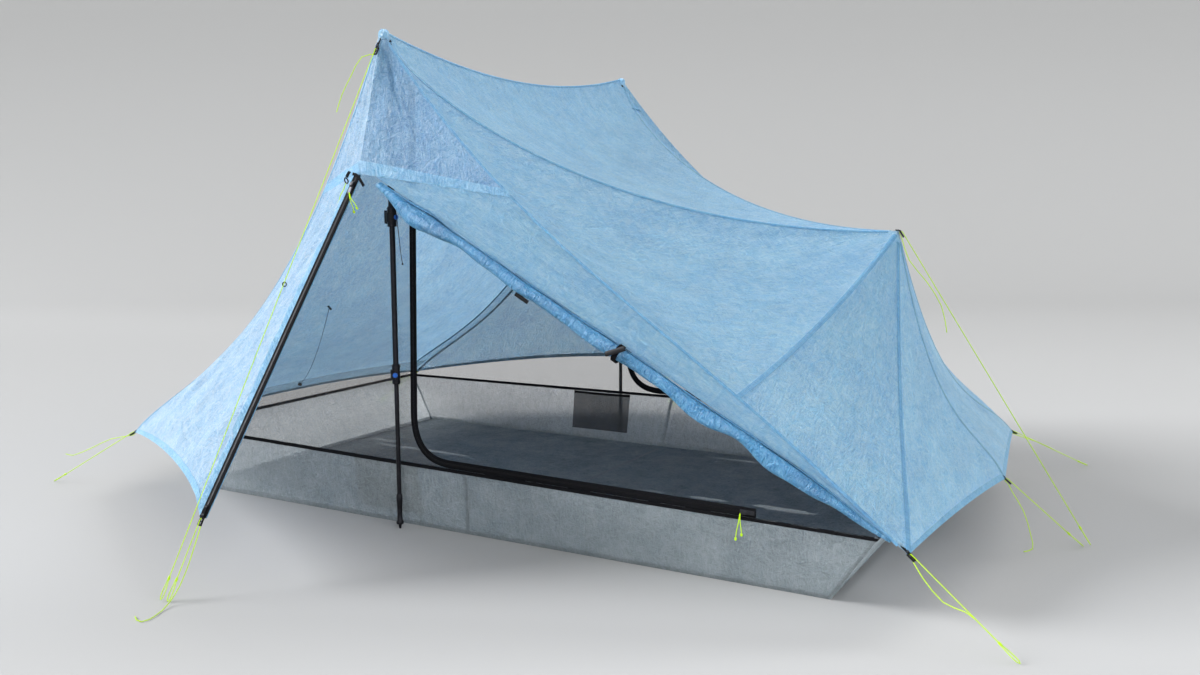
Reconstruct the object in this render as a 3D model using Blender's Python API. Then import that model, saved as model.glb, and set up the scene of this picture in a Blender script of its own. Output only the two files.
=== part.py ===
"""Trekking pole tent: a ridge tent for two, pitched on two trekking poles.

The frame's origin is the middle of the tub floor's underside. X runs from the
head end to the foot end, Y from the front door to the back door, Z up.
Every size is in metres.
"""
import math

import bpy
import bmesh
from mathutils import Matrix, Vector

# Driving dimensions of the floor tub
FLOOR_LENGTH = 2.11
FLOOR_WIDTH = 1.22
WALL_TOP = 0.19
WALL_TOP_HEAD_X = -1.145
WALL_TOP_FOOT_X = 1.185
WALL_TOP_HEAD_Y = 0.60
WALL_TOP_FOOT_Y = 0.70

# Driving places of the canopy, given for the front side and mirrored to the back
PEAK_X = -0.175
PEAK_Y = 0.675
PEAK_Z = 1.365
FOOT_PEAK_X = 1.035
FOOT_PEAK_Z = 0.83
HEAD_CORNER_X = -1.205
HEAD_CORNER_Y = 0.715
HEAD_CORNER_Z = 0.18
FOOT_CORNER_X = 1.25
FOOT_CORNER_Y = 0.70
FOOT_CORNER_Z = 0.165
END_CENTRE_X = 1.335
END_CENTRE_Z = 0.18
BEAK_TIP_X = -0.185
BEAK_TIP_Y = 0.77
BEAK_TIP_Z = 0.985
DOOR_FOOT_X = -0.265
DOOR_FOOT_Y = 1.255
DOOR_FOOT_Z = 0.175

# How far each seam hangs below the straight line between its ends
RIDGE_DROP = 0.075
ROOF_SEAM_DROP = 0.178
SIDE_SEAM_DROP = 0.091
HEAD_SEAM_DROP = 0.225
END_SEAM_DROP = 0.145
BRACE_SEAM_DROP = 0.03
DOOR_HEM_RISE = 0.065
END_HEM_RISE = 0.012
HEAD_HEM_RISE = 0.03
ROOF_SEAM_PEAK_SHARE = 0.40
SIDE_SEAM_PEAK_SHARE = 0.30
HEAD_SEAM_PEAK_SHARE = 0.41
END_SEAM_PEAK_SHARE = 0.38
DOOR_HEM_PEAK_SHARE = 0.72
MIDDLE_SHARE = 0.5

# Where the beak and the brace seam meet the long seams, as shares of the seam
BEAK_FOOT_SHARE = 0.295
BEAK_HEAD_SHARE = 0.216
BRACE_SHARE = 0.724

# Cloth, mesh and tub thickness, and the gaps between pieces
CLOTH = 0.0015
TUB_CLOTH = 0.002
NETTING = 0.001
SEAM_GAP = 0.0003
TIP_GAP = 0.004
CORNER_GAP = 0.0006
HEM_CLEARANCE = 0.0015
WELD = 0.0000001
NET_CLEARANCE = 0.008

# Doors and zips
DOOR_ROLL_RADIUS = 0.020
DOOR_ROLL_STEPS = 14
ROLL_TAPER_SHARE = 6.0
SCREEN_ROLL_RADIUS = 0.014
SCREEN_ROLL_INSET = 0.0218
ZIP_WIDTH = 0.022
ZIP_THICKNESS = 0.0024
SCREEN_ZIP_X = -0.125
SCREEN_ZIP_BEND = 0.13
SCREEN_ZIP_END_X = 0.9
SCREEN_ZIP_LIFT = 0.0012
SLIDER_LENGTH = 0.016
SLIDER_WIDTH = 0.011
SLIDER_HEIGHT = 0.007
SLIDER_PULL = 0.020
SLIDER_END_SPACE = 0.030

# Where the mesh walls meet the canopy
NET_TOP_Y = 0.615
NET_TOP_Z = 1.25
NET_SHARE = 0.2
HEAD_NET_SHARE = 0.35
END_NET_INSET = 0.006

# Poles
POLE_X = -0.17
POLE_Y = 0.658
GRIP_RADIUS = 0.0145
GRIP_LENGTH = 0.135
GRIP_TOP_RADIUS = 0.010
GRIP_ROUND = 0.008
LOWER_RADIUS = 0.0063
TUBE_WALL = 0.0011
TUBE_CLEARANCE = 0.0003
TUBE_OVERLAP = 0.055
UPPER_LOCK_Z = 0.845
LOWER_LOCK_Z = 0.413
LOCK_HEIGHT = 0.052
LOCK_WALL = 0.0035
FERRULE_RADIUS = 0.0105
FERRULE_TOP_Z = 0.100
FERRULE_NECK_Z = 0.085
TIP_RADIUS = 0.005
TIP_HEIGHT = 0.014
LEVER_THICKNESS = 0.0035
LEVER_HEIGHT = 0.026
LEVER_WRAP_ANGLE = math.radians(150)
EYE_RADIUS = 0.0045
EAR_HEIGHT = 0.005
EAR_SINK = 0.002
DIAL_RADIUS = 0.0062
DIAL_HEIGHT = 0.005
UPPER_LOCK_ANGLE = math.radians(-15)
LOWER_LOCK_ANGLE = math.radians(-58)

# Peak cups that the poles' grips press into
CUP_DEPTH = 0.030
CUP_REACH = 0.045
CUP_SEAT = 0.0012

# The sharpest corner of a panel that its gaps allow for, as a sine
LEAST_CORNER_SHARE = 0.2

# Mesh pockets on the long walls
POCKET_X = -0.235
POCKET_WIDTH = 0.22
POCKET_HEIGHT = 0.155
POCKET_DROP = 0.012
POCKET_CLEARANCE = 0.0009

# Guylines
CORD_RADIUS = 0.00105
HEAD_CORD_SEAT = -0.0005
FOOT_CORD_SEAT = -0.0009
END_CORD_SEAT = -0.0003
OTHER_CORD_SEAT = 0.0008
PEAK_CORD_SPACE = 0.0040
END_PEAK_CORD_SPACE = 0.0034
LOCK_TURN = 0.0042
STAKE_LOOP_LENGTH = 0.055
STAKE_LOOP_WIDTH = 0.011
PEAK_TAB_SHARE = 0.24

# A stake loop's points, as shares of its length and of its half width
STAKE_LOOP_SHARES = [(0.30, 0.55), (0.75, 1.0), (1.0, 0.0), (0.75, -1.0), (0.30, -0.55),
                     (0.06, -0.5)]

# Where each guyline ends at the ground, and the points of its free tail
GUYLINE_ENDS = {
    "guyline_peak_front": ((-0.292, -1.362, 0.004),
                           [(-0.203, -0.722, 1.290), (-0.235, -0.728, 1.245),
                            (-0.267, -0.732, 1.195), (-0.285, -0.735, 1.150)]),
    "guyline_door_front": ((-0.271, -1.360, 0.003),
                           [(-0.261, -1.300, 0.085), (-0.257, -1.335, 0.035),
                            (-0.250, -1.375, 0.006), (-0.225, -1.430, 0.002),
                            (-0.223, -1.468, 0.002), (-0.260, -1.455, 0.002)]),
    "guyline_head_front": ((-1.502, -0.808, 0.003),
                           [(-1.275, -0.752, 0.158), (-1.345, -0.775, 0.125),
                            (-1.410, -0.796, 0.098), (-1.438, -0.803, 0.101)]),
    "guyline_foot_front": ((1.490, -0.774, 0.003),
                           [(1.285, -0.724, 0.128), (1.333, -0.745, 0.090),
                            (1.380, -0.764, 0.085), (1.402, -0.771, 0.076)]),
    "guyline_end_centre": ((1.527, 0.078, 0.003),
                           [(1.355, -0.008, 0.150), (1.385, 0.004, 0.096),
                            (1.405, 0.010, 0.030), (1.412, -0.005, 0.003),
                            (1.395, -0.040, 0.002)]),
    "guyline_end_peak": ((1.542, 0.098, 0.004),
                         [(1.067, -0.006, 0.752), (1.115, -0.004, 0.695),
                          (1.155, 0.002, 0.630), (1.171, 0.004, 0.560)]),
    "guyline_foot_back": ((1.450, 1.042, 0.003),
                          [(1.283, 0.745, 0.140), (1.317, 0.800, 0.118),
                           (1.356, 0.866, 0.086)]),
    "guyline_head_back": ((-1.502, 0.808, 0.003),
                          [(-1.275, 0.752, 0.158), (-1.345, 0.775, 0.125),
                           (-1.410, 0.796, 0.098), (-1.438, 0.803, 0.101)]),
    "guyline_door_back": ((-0.271, 1.360, 0.003),
                          [(-0.261, 1.300, 0.085), (-0.257, 1.335, 0.035),
                           (-0.250, 1.375, 0.006), (-0.225, 1.430, 0.002),
                           (-0.223, 1.468, 0.002), (-0.260, 1.455, 0.002)]),
    "guyline_peak_back": ((-0.292, 1.362, 0.004),
                          [(-0.203, 0.722, 1.290), (-0.235, 0.728, 1.245),
                           (-0.267, 0.732, 1.195), (-0.285, 0.735, 1.150)]),
}

FRONT = -1
BACK = 1
SIDES = {"front": FRONT, "back": BACK}
ROUND_SIDES = 16
ROLL_SIDES = 10


def clear_scene():
    """Remove whatever the open file holds."""
    for thing in list(bpy.data.objects):
        bpy.data.objects.remove(thing, do_unlink=True)


def make_material(name, colour, roughness, metallic=0.0):
    """A Principled material of one colour."""
    material = bpy.data.materials.new(name)
    material.use_nodes = True
    shader = material.node_tree.nodes["Principled BSDF"]
    shader.inputs["Base Color"].default_value = (*colour, 1.0)
    shader.inputs["Roughness"].default_value = roughness
    shader.inputs["Metallic"].default_value = metallic
    material.diffuse_color = (*colour, 1.0)
    return material


def make_materials():
    """Every material of the tent, by what it covers."""
    return {
        "canopy": make_material("canopy_cloth", (0.31, 0.53, 0.76), 0.45),
        "tub": make_material("tub_cloth", (0.33, 0.38, 0.40), 0.5),
        "net": make_material("netting", (0.03, 0.03, 0.03), 0.8),
        "zip": make_material("zip_tape", (0.01, 0.01, 0.012), 0.6),
        "tube": make_material("pole_tube", (0.02, 0.02, 0.022), 0.3, 0.6),
        "foam": make_material("grip_foam", (0.02, 0.02, 0.02), 0.9),
        "lever": make_material("lever_plastic", (0.02, 0.09, 0.35), 0.4),
        "slider": make_material("slider_metal", (0.03, 0.03, 0.03), 0.35, 0.7),
        "cord": make_material("cord", (0.68, 0.83, 0.10), 0.6),
        "cup": make_material("cup_webbing", (0.02, 0.02, 0.025), 0.8),
    }


def finish_object(name, bm, material, smooth=False):
    """Turn a bmesh into a named object of one closed body."""
    bmesh.ops.remove_doubles(bm, verts=bm.verts, dist=WELD)
    bmesh.ops.recalc_face_normals(bm, faces=bm.faces)
    if bm.calc_volume(signed=True) < 0:
        bmesh.ops.reverse_faces(bm, faces=bm.faces)
    mesh = bpy.data.meshes.new(name)
    bm.to_mesh(mesh)
    bm.free()
    if smooth:
        mesh.shade_smooth()
        mesh.set_sharp_from_angle(angle=math.radians(40))
    mesh.materials.append(material)
    thing = bpy.data.objects.new(name, mesh)
    bpy.context.scene.collection.objects.link(thing)
    return thing


# Curves and patches of cloth


def straight(start, end, steps):
    """Evenly spaced points from start to end."""
    return [start.lerp(end, step / steps) for step in range(steps + 1)]


def hang(start, end, drop, steps, peak_share=MIDDLE_SHARE):
    """Points from start to end that hang a drop below the line between them."""
    power = (1 - peak_share) / peak_share
    top = peak_share * (1 - peak_share) ** power
    points = []
    for step in range(steps + 1):
        share = step / steps
        fall = drop * share * (1 - share) ** power / top
        points.append(start.lerp(end, share) - Vector((0, 0, fall)))
    return points


def hang_in_parts(start, end, drop, peak_share, stops, steps):
    """A hanging seam cut at its stops, each part with its own number of steps."""
    power = (1 - peak_share) / peak_share
    top = peak_share * (1 - peak_share) ** power
    parts = []
    edges = [0.0, *stops, 1.0]
    for low, high, count in zip(edges, edges[1:], steps):
        part = []
        for step in range(count + 1):
            share = low + (high - low) * step / count
            fall = drop * share * (1 - share) ** power / top
            part.append(start.lerp(end, share) - Vector((0, 0, fall)))
        parts.append(part)
    return parts


def length_shares(points):
    """How far along a run each of its points lies, as a share of the run's length."""
    lengths = [0.0]
    for one, two in zip(points, points[1:]):
        lengths.append(lengths[-1] + (two - one).length)
    return [length / lengths[-1] for length in lengths]


def patch(left, right, base, top=None):
    """A grid of points between two side curves, a base curve and a top curve."""
    rows = []
    down_shares = length_shares(left)
    across_shares = length_shares(base)
    for i, down in enumerate(down_shares):
        row = []
        for j, point in enumerate(base):
            across = across_shares[j]
            spot = left[i].lerp(right[i], across)
            spot = spot + down * (point - base[0].lerp(base[-1], across))
            if top:
                spot = spot + (1 - down) * (top[j] - top[0].lerp(top[-1], across))
            row.append(spot)
        rows.append(row)
    return rows


def grid_faces(rows):
    """The corner indices of the grid's faces, with a point as its first row if it has one."""
    faces = []
    pointed = (rows[0][0] - rows[0][-1]).length < SEAM_GAP
    for i in range(len(rows) - 1):
        for j in range(len(rows[0]) - 1):
            if i == 0 and pointed:
                faces.append([(0, 0), (1, j), (1, j + 1)])
            else:
                faces.append([(i, j), (i + 1, j), (i + 1, j + 1)])
                faces.append([(i, j), (i + 1, j + 1), (i, j + 1)])
    return faces, pointed


def spot_key(point):
    """A key that the same place has in every patch."""
    return tuple(round(value / SEAM_GAP) for value in point)


def outward_turn(rows, middle):
    """1 where the grid's faces look away from a middle point, otherwise -1."""
    faces, _ = grid_faces(rows)
    total = 0.0
    for corners in faces:
        points = [rows[i][j] for i, j in corners]
        normal = (points[1] - points[0]).cross(points[2] - points[0])
        centre = sum(points, Vector()) / len(points)
        total += normal.dot(centre - middle)
    return 1 if total > 0 else -1


def shared_normals(grids, middle):
    """The normal at every place, averaged over all the patches that meet there."""
    sums = {}
    for rows in grids.values():
        turn = outward_turn(rows, middle)
        faces, _ = grid_faces(rows)
        for corners in faces:
            points = [rows[i][j] for i, j in corners]
            normal = (points[1] - points[0]).cross(points[2] - points[0]) * turn
            for point in points:
                key = spot_key(point)
                sums[key] = sums.get(key, Vector()) + normal
    return {key: total.normalized() for key, total in sums.items()}


def border_shift(rows, i, j, insets, pointed):
    """How far a border point moves into its patch, for the gap along each border."""
    last_i = len(rows) - 1
    last_j = len(rows[0]) - 1
    here = rows[i][j]
    on_side = "left" if j == 0 else "right" if j == last_j else None
    on_row = "base" if i == last_i else "top" if i == 0 and not pointed else None
    inner_j = 1 if j == 0 else last_j - 1 if j == last_j else j
    inner_i = 1 if i == 0 else last_i - 1 if i == last_i else i
    across = (rows[i][inner_j] - here).normalized()
    down = (rows[inner_i][j] - here).normalized()
    if on_side and on_row:
        corner = max(across.cross(down).length, LEAST_CORNER_SHARE)
        side_gap = max(insets[on_side], CORNER_GAP)
        row_gap = max(insets[on_row], CORNER_GAP)
        return (across * side_gap + down * row_gap) / corner
    if on_side:
        along = (rows[i + 1][j] - rows[i - 1][j]).normalized()
        inward = (across - along * across.dot(along)).normalized()
        return inward * insets[on_side]
    if on_row:
        along = (rows[i][j + 1] - rows[i][j - 1]).normalized()
        inward = (down - along * down.dot(along)).normalized()
        return inward * insets[on_row]
    return Vector()


def sheet(name, rows, normals, thickness, material, middle, insets=None):
    """A closed sheet of cloth: the grid is its outer face, the inner one lies inside."""
    gaps = {"left": SEAM_GAP / 2, "right": SEAM_GAP / 2, "base": SEAM_GAP / 2, "top": SEAM_GAP / 2}
    gaps.update(insets or {})
    faces, pointed = grid_faces(rows)
    turn = outward_turn(rows, middle)
    bm = bmesh.new()
    outer = {}
    inner = {}
    for i, row in enumerate(rows):
        for j, point in enumerate(row):
            if i == 0 and pointed and j > 0:
                continue
            if i == 0 and pointed:
                aim = rows[1][len(row) // 2] - point
                spot = point + aim.normalized() * TIP_GAP
            else:
                spot = point + border_shift(rows, i, j, gaps, pointed)
            normal = normals[spot_key(point)]
            outer[(i, j)] = bm.verts.new(spot)
            inner[(i, j)] = bm.verts.new(spot - normal * thickness)
    edges = {}
    for corners in faces:
        ring = corners if turn > 0 else corners[::-1]
        bm.faces.new([outer[corner] for corner in ring])
        bm.faces.new([inner[corner] for corner in reversed(ring)])
        for a, b in zip(ring, ring[1:] + ring[:1]):
            edges[(a, b)] = edges.get((a, b), 0) + 1
    for a, b in edges:
        if (b, a) not in edges:
            bm.faces.new([outer[b], outer[a], inner[a], inner[b]])
    return finish_object(name, bm, material, smooth=True)


# Seams and panels of the canopy


def canopy_places(side):
    """The canopy's named places on one side of the tent."""
    return {
        "peak": Vector((PEAK_X, side * PEAK_Y, PEAK_Z)),
        "foot_peak": Vector((FOOT_PEAK_X, 0, FOOT_PEAK_Z)),
        "head_corner": Vector((HEAD_CORNER_X, side * HEAD_CORNER_Y, HEAD_CORNER_Z)),
        "foot_corner": Vector((FOOT_CORNER_X, side * FOOT_CORNER_Y, FOOT_CORNER_Z)),
        "end_centre": Vector((END_CENTRE_X, 0, END_CENTRE_Z)),
        "beak_tip": Vector((BEAK_TIP_X, side * BEAK_TIP_Y, BEAK_TIP_Z)),
        "door_foot": Vector((DOOR_FOOT_X, side * DOOR_FOOT_Y, DOOR_FOOT_Z)),
    }


def canopy_seams(side):
    """The seams and hems of one side, each as a list of points."""
    at = canopy_places(side)
    side_parts = hang_in_parts(at["peak"], at["foot_corner"], SIDE_SEAM_DROP,
                               SIDE_SEAM_PEAK_SHARE, [BEAK_FOOT_SHARE, BRACE_SHARE], [2, 4, 3])
    head_parts = hang_in_parts(at["peak"], at["head_corner"], HEAD_SEAM_DROP,
                               HEAD_SEAM_PEAK_SHARE, [BEAK_HEAD_SHARE], [2, 7])
    brace_foot = side_parts[1][-1]
    return {
        "roof": hang(at["foot_peak"], at["peak"], ROOF_SEAM_DROP, 8, 1 - ROOF_SEAM_PEAK_SHARE),
        "brace": hang(at["foot_peak"], brace_foot, BRACE_SEAM_DROP, 8),
        "end": hang(at["foot_peak"], at["foot_corner"], END_SEAM_DROP, 8, END_SEAM_PEAK_SHARE),
        "end_middle": hang(at["foot_peak"], at["end_centre"], END_SEAM_DROP, 8,
                           END_SEAM_PEAK_SHARE),
        "end_hem": hang(at["foot_corner"], at["end_centre"], -END_HEM_RISE, 5),
        "peak_to_beak": side_parts[0],
        "beak_to_brace": side_parts[1],
        "brace_to_foot": side_parts[2],
        "peak_to_beak_head": head_parts[0],
        "beak_to_head": head_parts[1],
        "beak_hem_head": hang(head_parts[0][-1], at["beak_tip"], 0, 3),
        "beak_hem_foot": hang(at["beak_tip"], side_parts[0][-1], 0, 4),
        "zip_head_edge": zip_edge(side, 7, -1),
        "zip_foot_edge": zip_edge(side, 7, 1),
        "head_door_hem": hang(at["head_corner"], at["door_foot"], -DOOR_HEM_RISE, 3,
                              DOOR_HEM_PEAK_SHARE),
        "foot_door_hem": hang(at["foot_corner"], at["door_foot"], -DOOR_HEM_RISE, 4,
                              DOOR_HEM_PEAK_SHARE),
        "roll_edge": roll_edge(at, side_parts),
    }


def zip_line(side):
    """The straight line of a door's zip, from the beak down to the stake point."""
    at = canopy_places(side)
    along = (at["door_foot"] - at["beak_tip"]).normalized()
    start = at["beak_tip"] + along * (HEM_CLEARANCE + ZIP_THICKNESS)
    facing = Vector((0, side * -along.z, side * along.y)).normalized()
    return start, at["door_foot"], along, facing


def zip_edge(side, steps, toward_foot):
    """The edge of a door beside its zip, toward the head end or the foot end."""
    at = canopy_places(side)
    across = Vector((toward_foot * (ZIP_WIDTH / 2 + SEAM_GAP), 0, 0))
    return [point + across for point in straight(at["beak_tip"], at["door_foot"], steps)]


def roll_radius(share):
    """The rolled door's radius, a share of the way from the foot corner to the beak's tip."""
    return DOOR_ROLL_RADIUS * min(share * ROLL_TAPER_SHARE, 1)


def roll_edge(at, side_parts):
    """The edge along which the flat part of the open door goes into its roll."""
    start = at["foot_corner"]
    end = at["beak_tip"]
    along = (end - start).normalized()
    seam = (side_parts[1] + side_parts[2][1:])[::-1]
    edge = [start]
    for k in range(1, len(seam) - 1):
        share = k / (len(seam) - 1)
        spot = start.lerp(end, share)
        up = seam[k] - spot
        up = (up - along * up.dot(along)).normalized()
        edge.append(spot + up * (roll_radius(share) + HEM_CLEARANCE))
    hem = (seam[-1] - end).normalized()
    corner = hem.cross(along).length
    edge.append(end + hem * (DOOR_ROLL_RADIUS + HEM_CLEARANCE) / corner)
    return edge


def joined(first, second):
    """Two runs of points that meet, as one run."""
    return first + second[1:]


def canopy_grids():
    """Every panel of the canopy as a grid of points, by its node's name."""
    grids = {}
    seams = {name: canopy_seams(side) for name, side in SIDES.items()}
    front = seams["front"]
    back = seams["back"]
    ridge = hang(front["roof"][-1], back["roof"][-1], RIDGE_DROP, 6)
    grids["canopy_roof"] = patch(front["roof"], back["roof"], ridge)
    head_left = joined(front["peak_to_beak_head"], front["beak_to_head"])
    head_right = joined(back["peak_to_beak_head"], back["beak_to_head"])
    head_hem = hang(head_left[-1], head_right[-1], -HEAD_HEM_RISE, 6)
    grids["canopy_head"] = patch(head_left, head_right, head_hem, ridge)
    for name, seam in seams.items():
        upper_base = joined(seam["peak_to_beak"], seam["beak_to_brace"])
        long_seam = joined(seam["beak_to_brace"], seam["brace_to_foot"])
        grids[f"canopy_side_{name}_upper"] = patch(seam["roof"], seam["brace"], upper_base)
        grids[f"canopy_side_{name}_lower"] = patch(seam["brace"], seam["end"],
                                                   seam["brace_to_foot"])
        grids[f"canopy_end_{name}"] = patch(seam["end"], seam["end_middle"], seam["end_hem"])
        beak_hem = joined(seam["beak_hem_head"], seam["beak_hem_foot"])
        grids[f"beak_{name}"] = patch(seam["peak_to_beak_head"], seam["peak_to_beak"], beak_hem)
        edge = seam["zip_head_edge"]
        grids[f"door_{name}_left"] = patch(seam["beak_to_head"], edge,
                                           seam["head_door_hem"][:-1] + edge[-1:],
                                           seam["beak_hem_head"][:-1] + edge[:1])
        hem_from_foot = seam["beak_hem_foot"][::-1]
        if name == "front":
            flat_hem = straight(hem_from_foot[0], seam["roll_edge"][-1], 4)
            grids["door_front_right"] = patch(long_seam[::-1], seam["roll_edge"], flat_hem)
        else:
            edge = seam["zip_foot_edge"]
            grids["door_back_right"] = patch(long_seam, edge,
                                             seam["foot_door_hem"][:-1] + edge[-1:],
                                             hem_from_foot[:-1] + edge[:1])
    return grids, seams


def build_canopy(materials):
    """The canopy's panels, beaks and doors."""
    middle = Vector((0, 0, WALL_TOP))
    grids, seams = canopy_grids()
    normals = shared_normals(grids, middle)
    for name, side in SIDES.items():
        facing = zip_line(side)[-1]
        for point in seams[name]["zip_head_edge"] + seams[name]["zip_foot_edge"]:
            normals[spot_key(point)] = facing
    insets = {
        "door_front_left": {"top": HEM_CLEARANCE},
        "door_back_left": {"top": HEM_CLEARANCE},
        "door_back_right": {"top": HEM_CLEARANCE},
        "door_front_right": {"base": HEM_CLEARANCE},
    }
    for name, rows in grids.items():
        sheet(name, rows, normals, CLOTH, materials["canopy"], middle, insets.get(name))
    return grids, seams, normals


# Swept and turned shapes


def side_frame(points, index):
    """The direction of a route at a point and the run before and after it."""
    before = points[max(index - 1, 0)]
    after = points[min(index + 1, len(points) - 1)]
    return (after - before).normalized()


def sweep(name, points, outline_at, material, smooth=True):
    """Carry a closed outline along a route, with flat ends."""
    bm = bmesh.new()
    rings = []
    for index, point in enumerate(points):
        rings.append([bm.verts.new(spot) for spot in outline_at(index, point)])
    for one, two in zip(rings, rings[1:]):
        for k in range(len(one)):
            after = (k + 1) % len(one)
            bm.faces.new([one[k], one[after], two[after], two[k]])
    bm.faces.new(rings[0][::-1])
    bm.faces.new(rings[-1])
    return finish_object(name, bm, material, smooth)


def roll(name, points, radii, material):
    """A rolled length of cloth along a route."""
    up = Vector((0, 0, 1))

    def outline(index, point):
        along = side_frame(points, index)
        side = along.cross(up).normalized()
        over = side.cross(along).normalized()
        ring = []
        for k in range(ROLL_SIDES):
            angle = 2 * math.pi * k / ROLL_SIDES
            ring.append(point + (side * math.cos(angle) + over * math.sin(angle)) * radii[index])
        return ring

    return sweep(name, points, outline, material)


def ribbon(name, points, facing, width, thickness, material):
    """A flat tape along a route that looks one way."""

    def outline(index, point):
        along = side_frame(points, index)
        side = along.cross(facing).normalized()
        out = side.cross(along).normalized()
        half = side * width / 2
        deep = out * thickness / 2
        return [point - half - deep, point + half - deep, point + half + deep, point - half + deep]

    return sweep(name, points, outline, material, smooth=False)


def turned(name, profile, centre, material, closed):
    """Turn a profile of radii and heights about an upright line."""
    bm = bmesh.new()
    rings = []
    for radius, height in profile:
        if radius == 0:
            rings.append([bm.verts.new(centre + Vector((0, 0, height)))])
            continue
        ring = []
        for k in range(ROUND_SIDES):
            angle = 2 * math.pi * k / ROUND_SIDES
            spot = Vector((radius * math.cos(angle), radius * math.sin(angle), height))
            ring.append(bm.verts.new(centre + spot))
        rings.append(ring)
    pairs = list(zip(rings, rings[1:]))
    if closed:
        pairs.append((rings[-1], rings[0]))
    for one, two in pairs:
        if len(one) == len(two) == 1:
            continue
        for k in range(ROUND_SIDES):
            after = (k + 1) % ROUND_SIDES
            corners = []
            for ring, index in ((one, k), (one, after), (two, after), (two, k)):
                vert = ring[index % len(ring)]
                if vert not in corners:
                    corners.append(vert)
            bm.faces.new(corners)
    return finish_object(name, bm, material, smooth=True)


def prism(name, outline, low, high, material):
    """Raise a flat outline between two heights."""
    bm = bmesh.new()
    bottom = [bm.verts.new((x, y, low)) for x, y in outline]
    top = [bm.verts.new((x, y, high)) for x, y in outline]
    bm.faces.new(bottom[::-1])
    bm.faces.new(top)
    for k in range(len(outline)):
        after = (k + 1) % len(outline)
        bm.faces.new([bottom[k], bottom[after], top[after], top[k]])
    return finish_object(name, bm, material)


def add_union(thing, other):
    """Join another shape to a solid, and keep that shape as a guide only."""
    other.hide_render = True
    other.display_type = "WIRE"
    change = thing.modifiers.new("join", "BOOLEAN")
    change.operation = "UNION"
    change.solver = "EXACT"
    change.object = other


# Floor tub, mesh walls and pockets


def tub_corners(side):
    """The four corners of one long wall, as head bottom, foot bottom, head top, foot top."""
    half_length = FLOOR_LENGTH / 2
    half_width = side * FLOOR_WIDTH / 2
    return (Vector((-half_length, half_width, 0)), Vector((half_length, half_width, 0)),
            Vector((WALL_TOP_HEAD_X, side * WALL_TOP_HEAD_Y, WALL_TOP)),
            Vector((WALL_TOP_FOOT_X, side * WALL_TOP_FOOT_Y, WALL_TOP)))


def wall_top_spot(side, x):
    """The place on a long wall's top edge at a given X."""
    _, _, head, foot = tub_corners(side)
    return head.lerp(foot, (x - WALL_TOP_HEAD_X) / (WALL_TOP_FOOT_X - WALL_TOP_HEAD_X))


def straight_in_parts(start, end, stops, steps):
    """Points from start to end, with stops at given shares of the way."""
    points = [start]
    edges = [0.0, *stops, 1.0]
    for low, high, count in zip(edges, edges[1:], steps):
        for step in range(1, count + 1):
            points.append(start.lerp(end, low + (high - low) * step / count))
    return points


def build_tub(materials):
    """The floor, the four walls that stand up round it and the walls' pockets."""
    front = tub_corners(FRONT)
    back = tub_corners(BACK)
    pocket_start = (POCKET_X - POCKET_WIDTH / 2 + FLOOR_LENGTH / 2) / FLOOR_LENGTH
    pocket_end = (POCKET_X + POCKET_WIDTH / 2 + FLOOR_LENGTH / 2) / FLOOR_LENGTH
    pocket_foot = (WALL_TOP - POCKET_HEIGHT) / WALL_TOP
    stops = [pocket_start, pocket_end]
    steps = [3, 3, 4]
    floor_sides = [straight_in_parts(corners[0], corners[1], stops, steps)
                   for corners in (front, back)]
    grids = {
        "tub_floor": patch(floor_sides[0], floor_sides[1], straight(front[1], back[1], 2),
                           straight(front[0], back[0], 2)),
    }
    walls = {
        "head": (front[0], front[2], back[0], back[2], [], [2]),
        "foot": (front[1], front[3], back[1], back[3], [], [2]),
        "front": (*front[::2], *front[1::2], stops, steps),
        "back": (*back[::2], *back[1::2], stops, steps),
    }
    for name, (low_start, high_start, low_end, high_end, at, counts) in walls.items():
        rise_start = straight_in_parts(low_start, high_start, [pocket_foot], [1, 2])
        rise_end = straight_in_parts(low_end, high_end, [pocket_foot], [1, 2])
        grids[f"tub_wall_{name}"] = patch(rise_start, rise_end,
                                          straight_in_parts(high_start, high_end, at, counts),
                                          straight_in_parts(low_start, low_end, at, counts))
    middle = Vector((0, 0, WALL_TOP / 2))
    normals = shared_normals(grids, middle)
    for name, rows in grids.items():
        sheet(name, rows, normals, TUB_CLOTH, materials["tub"], middle)
    for name in SIDES:
        rows = []
        for row in grids[f"tub_wall_{name}"][1:]:
            cut = row[steps[0]:steps[0] + steps[1] + 1]
            rows.append([inside(point, normals, TUB_CLOTH + POCKET_CLEARANCE) for point in cut])
        own_normals = shared_normals({"pocket": rows}, middle)
        sheet(f"pocket_{name}", rows, own_normals, NETTING, materials["net"], middle,
              {"base": POCKET_DROP})


def inside(point, normals, depth):
    """The place a given depth inside the canopy from one of its net's points."""
    return point - normals[spot_key(point)] * depth


def net_line(points, inner_points, normals):
    """Where a mesh wall meets the canopy, a little way in from a long seam."""
    line = []
    for point, inner_point in zip(points, inner_points):
        near = inside(point, normals, NET_CLEARANCE)
        far = inside(inner_point, normals, NET_CLEARANCE)
        line.append(near.lerp(far, NET_SHARE))
    return line


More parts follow.
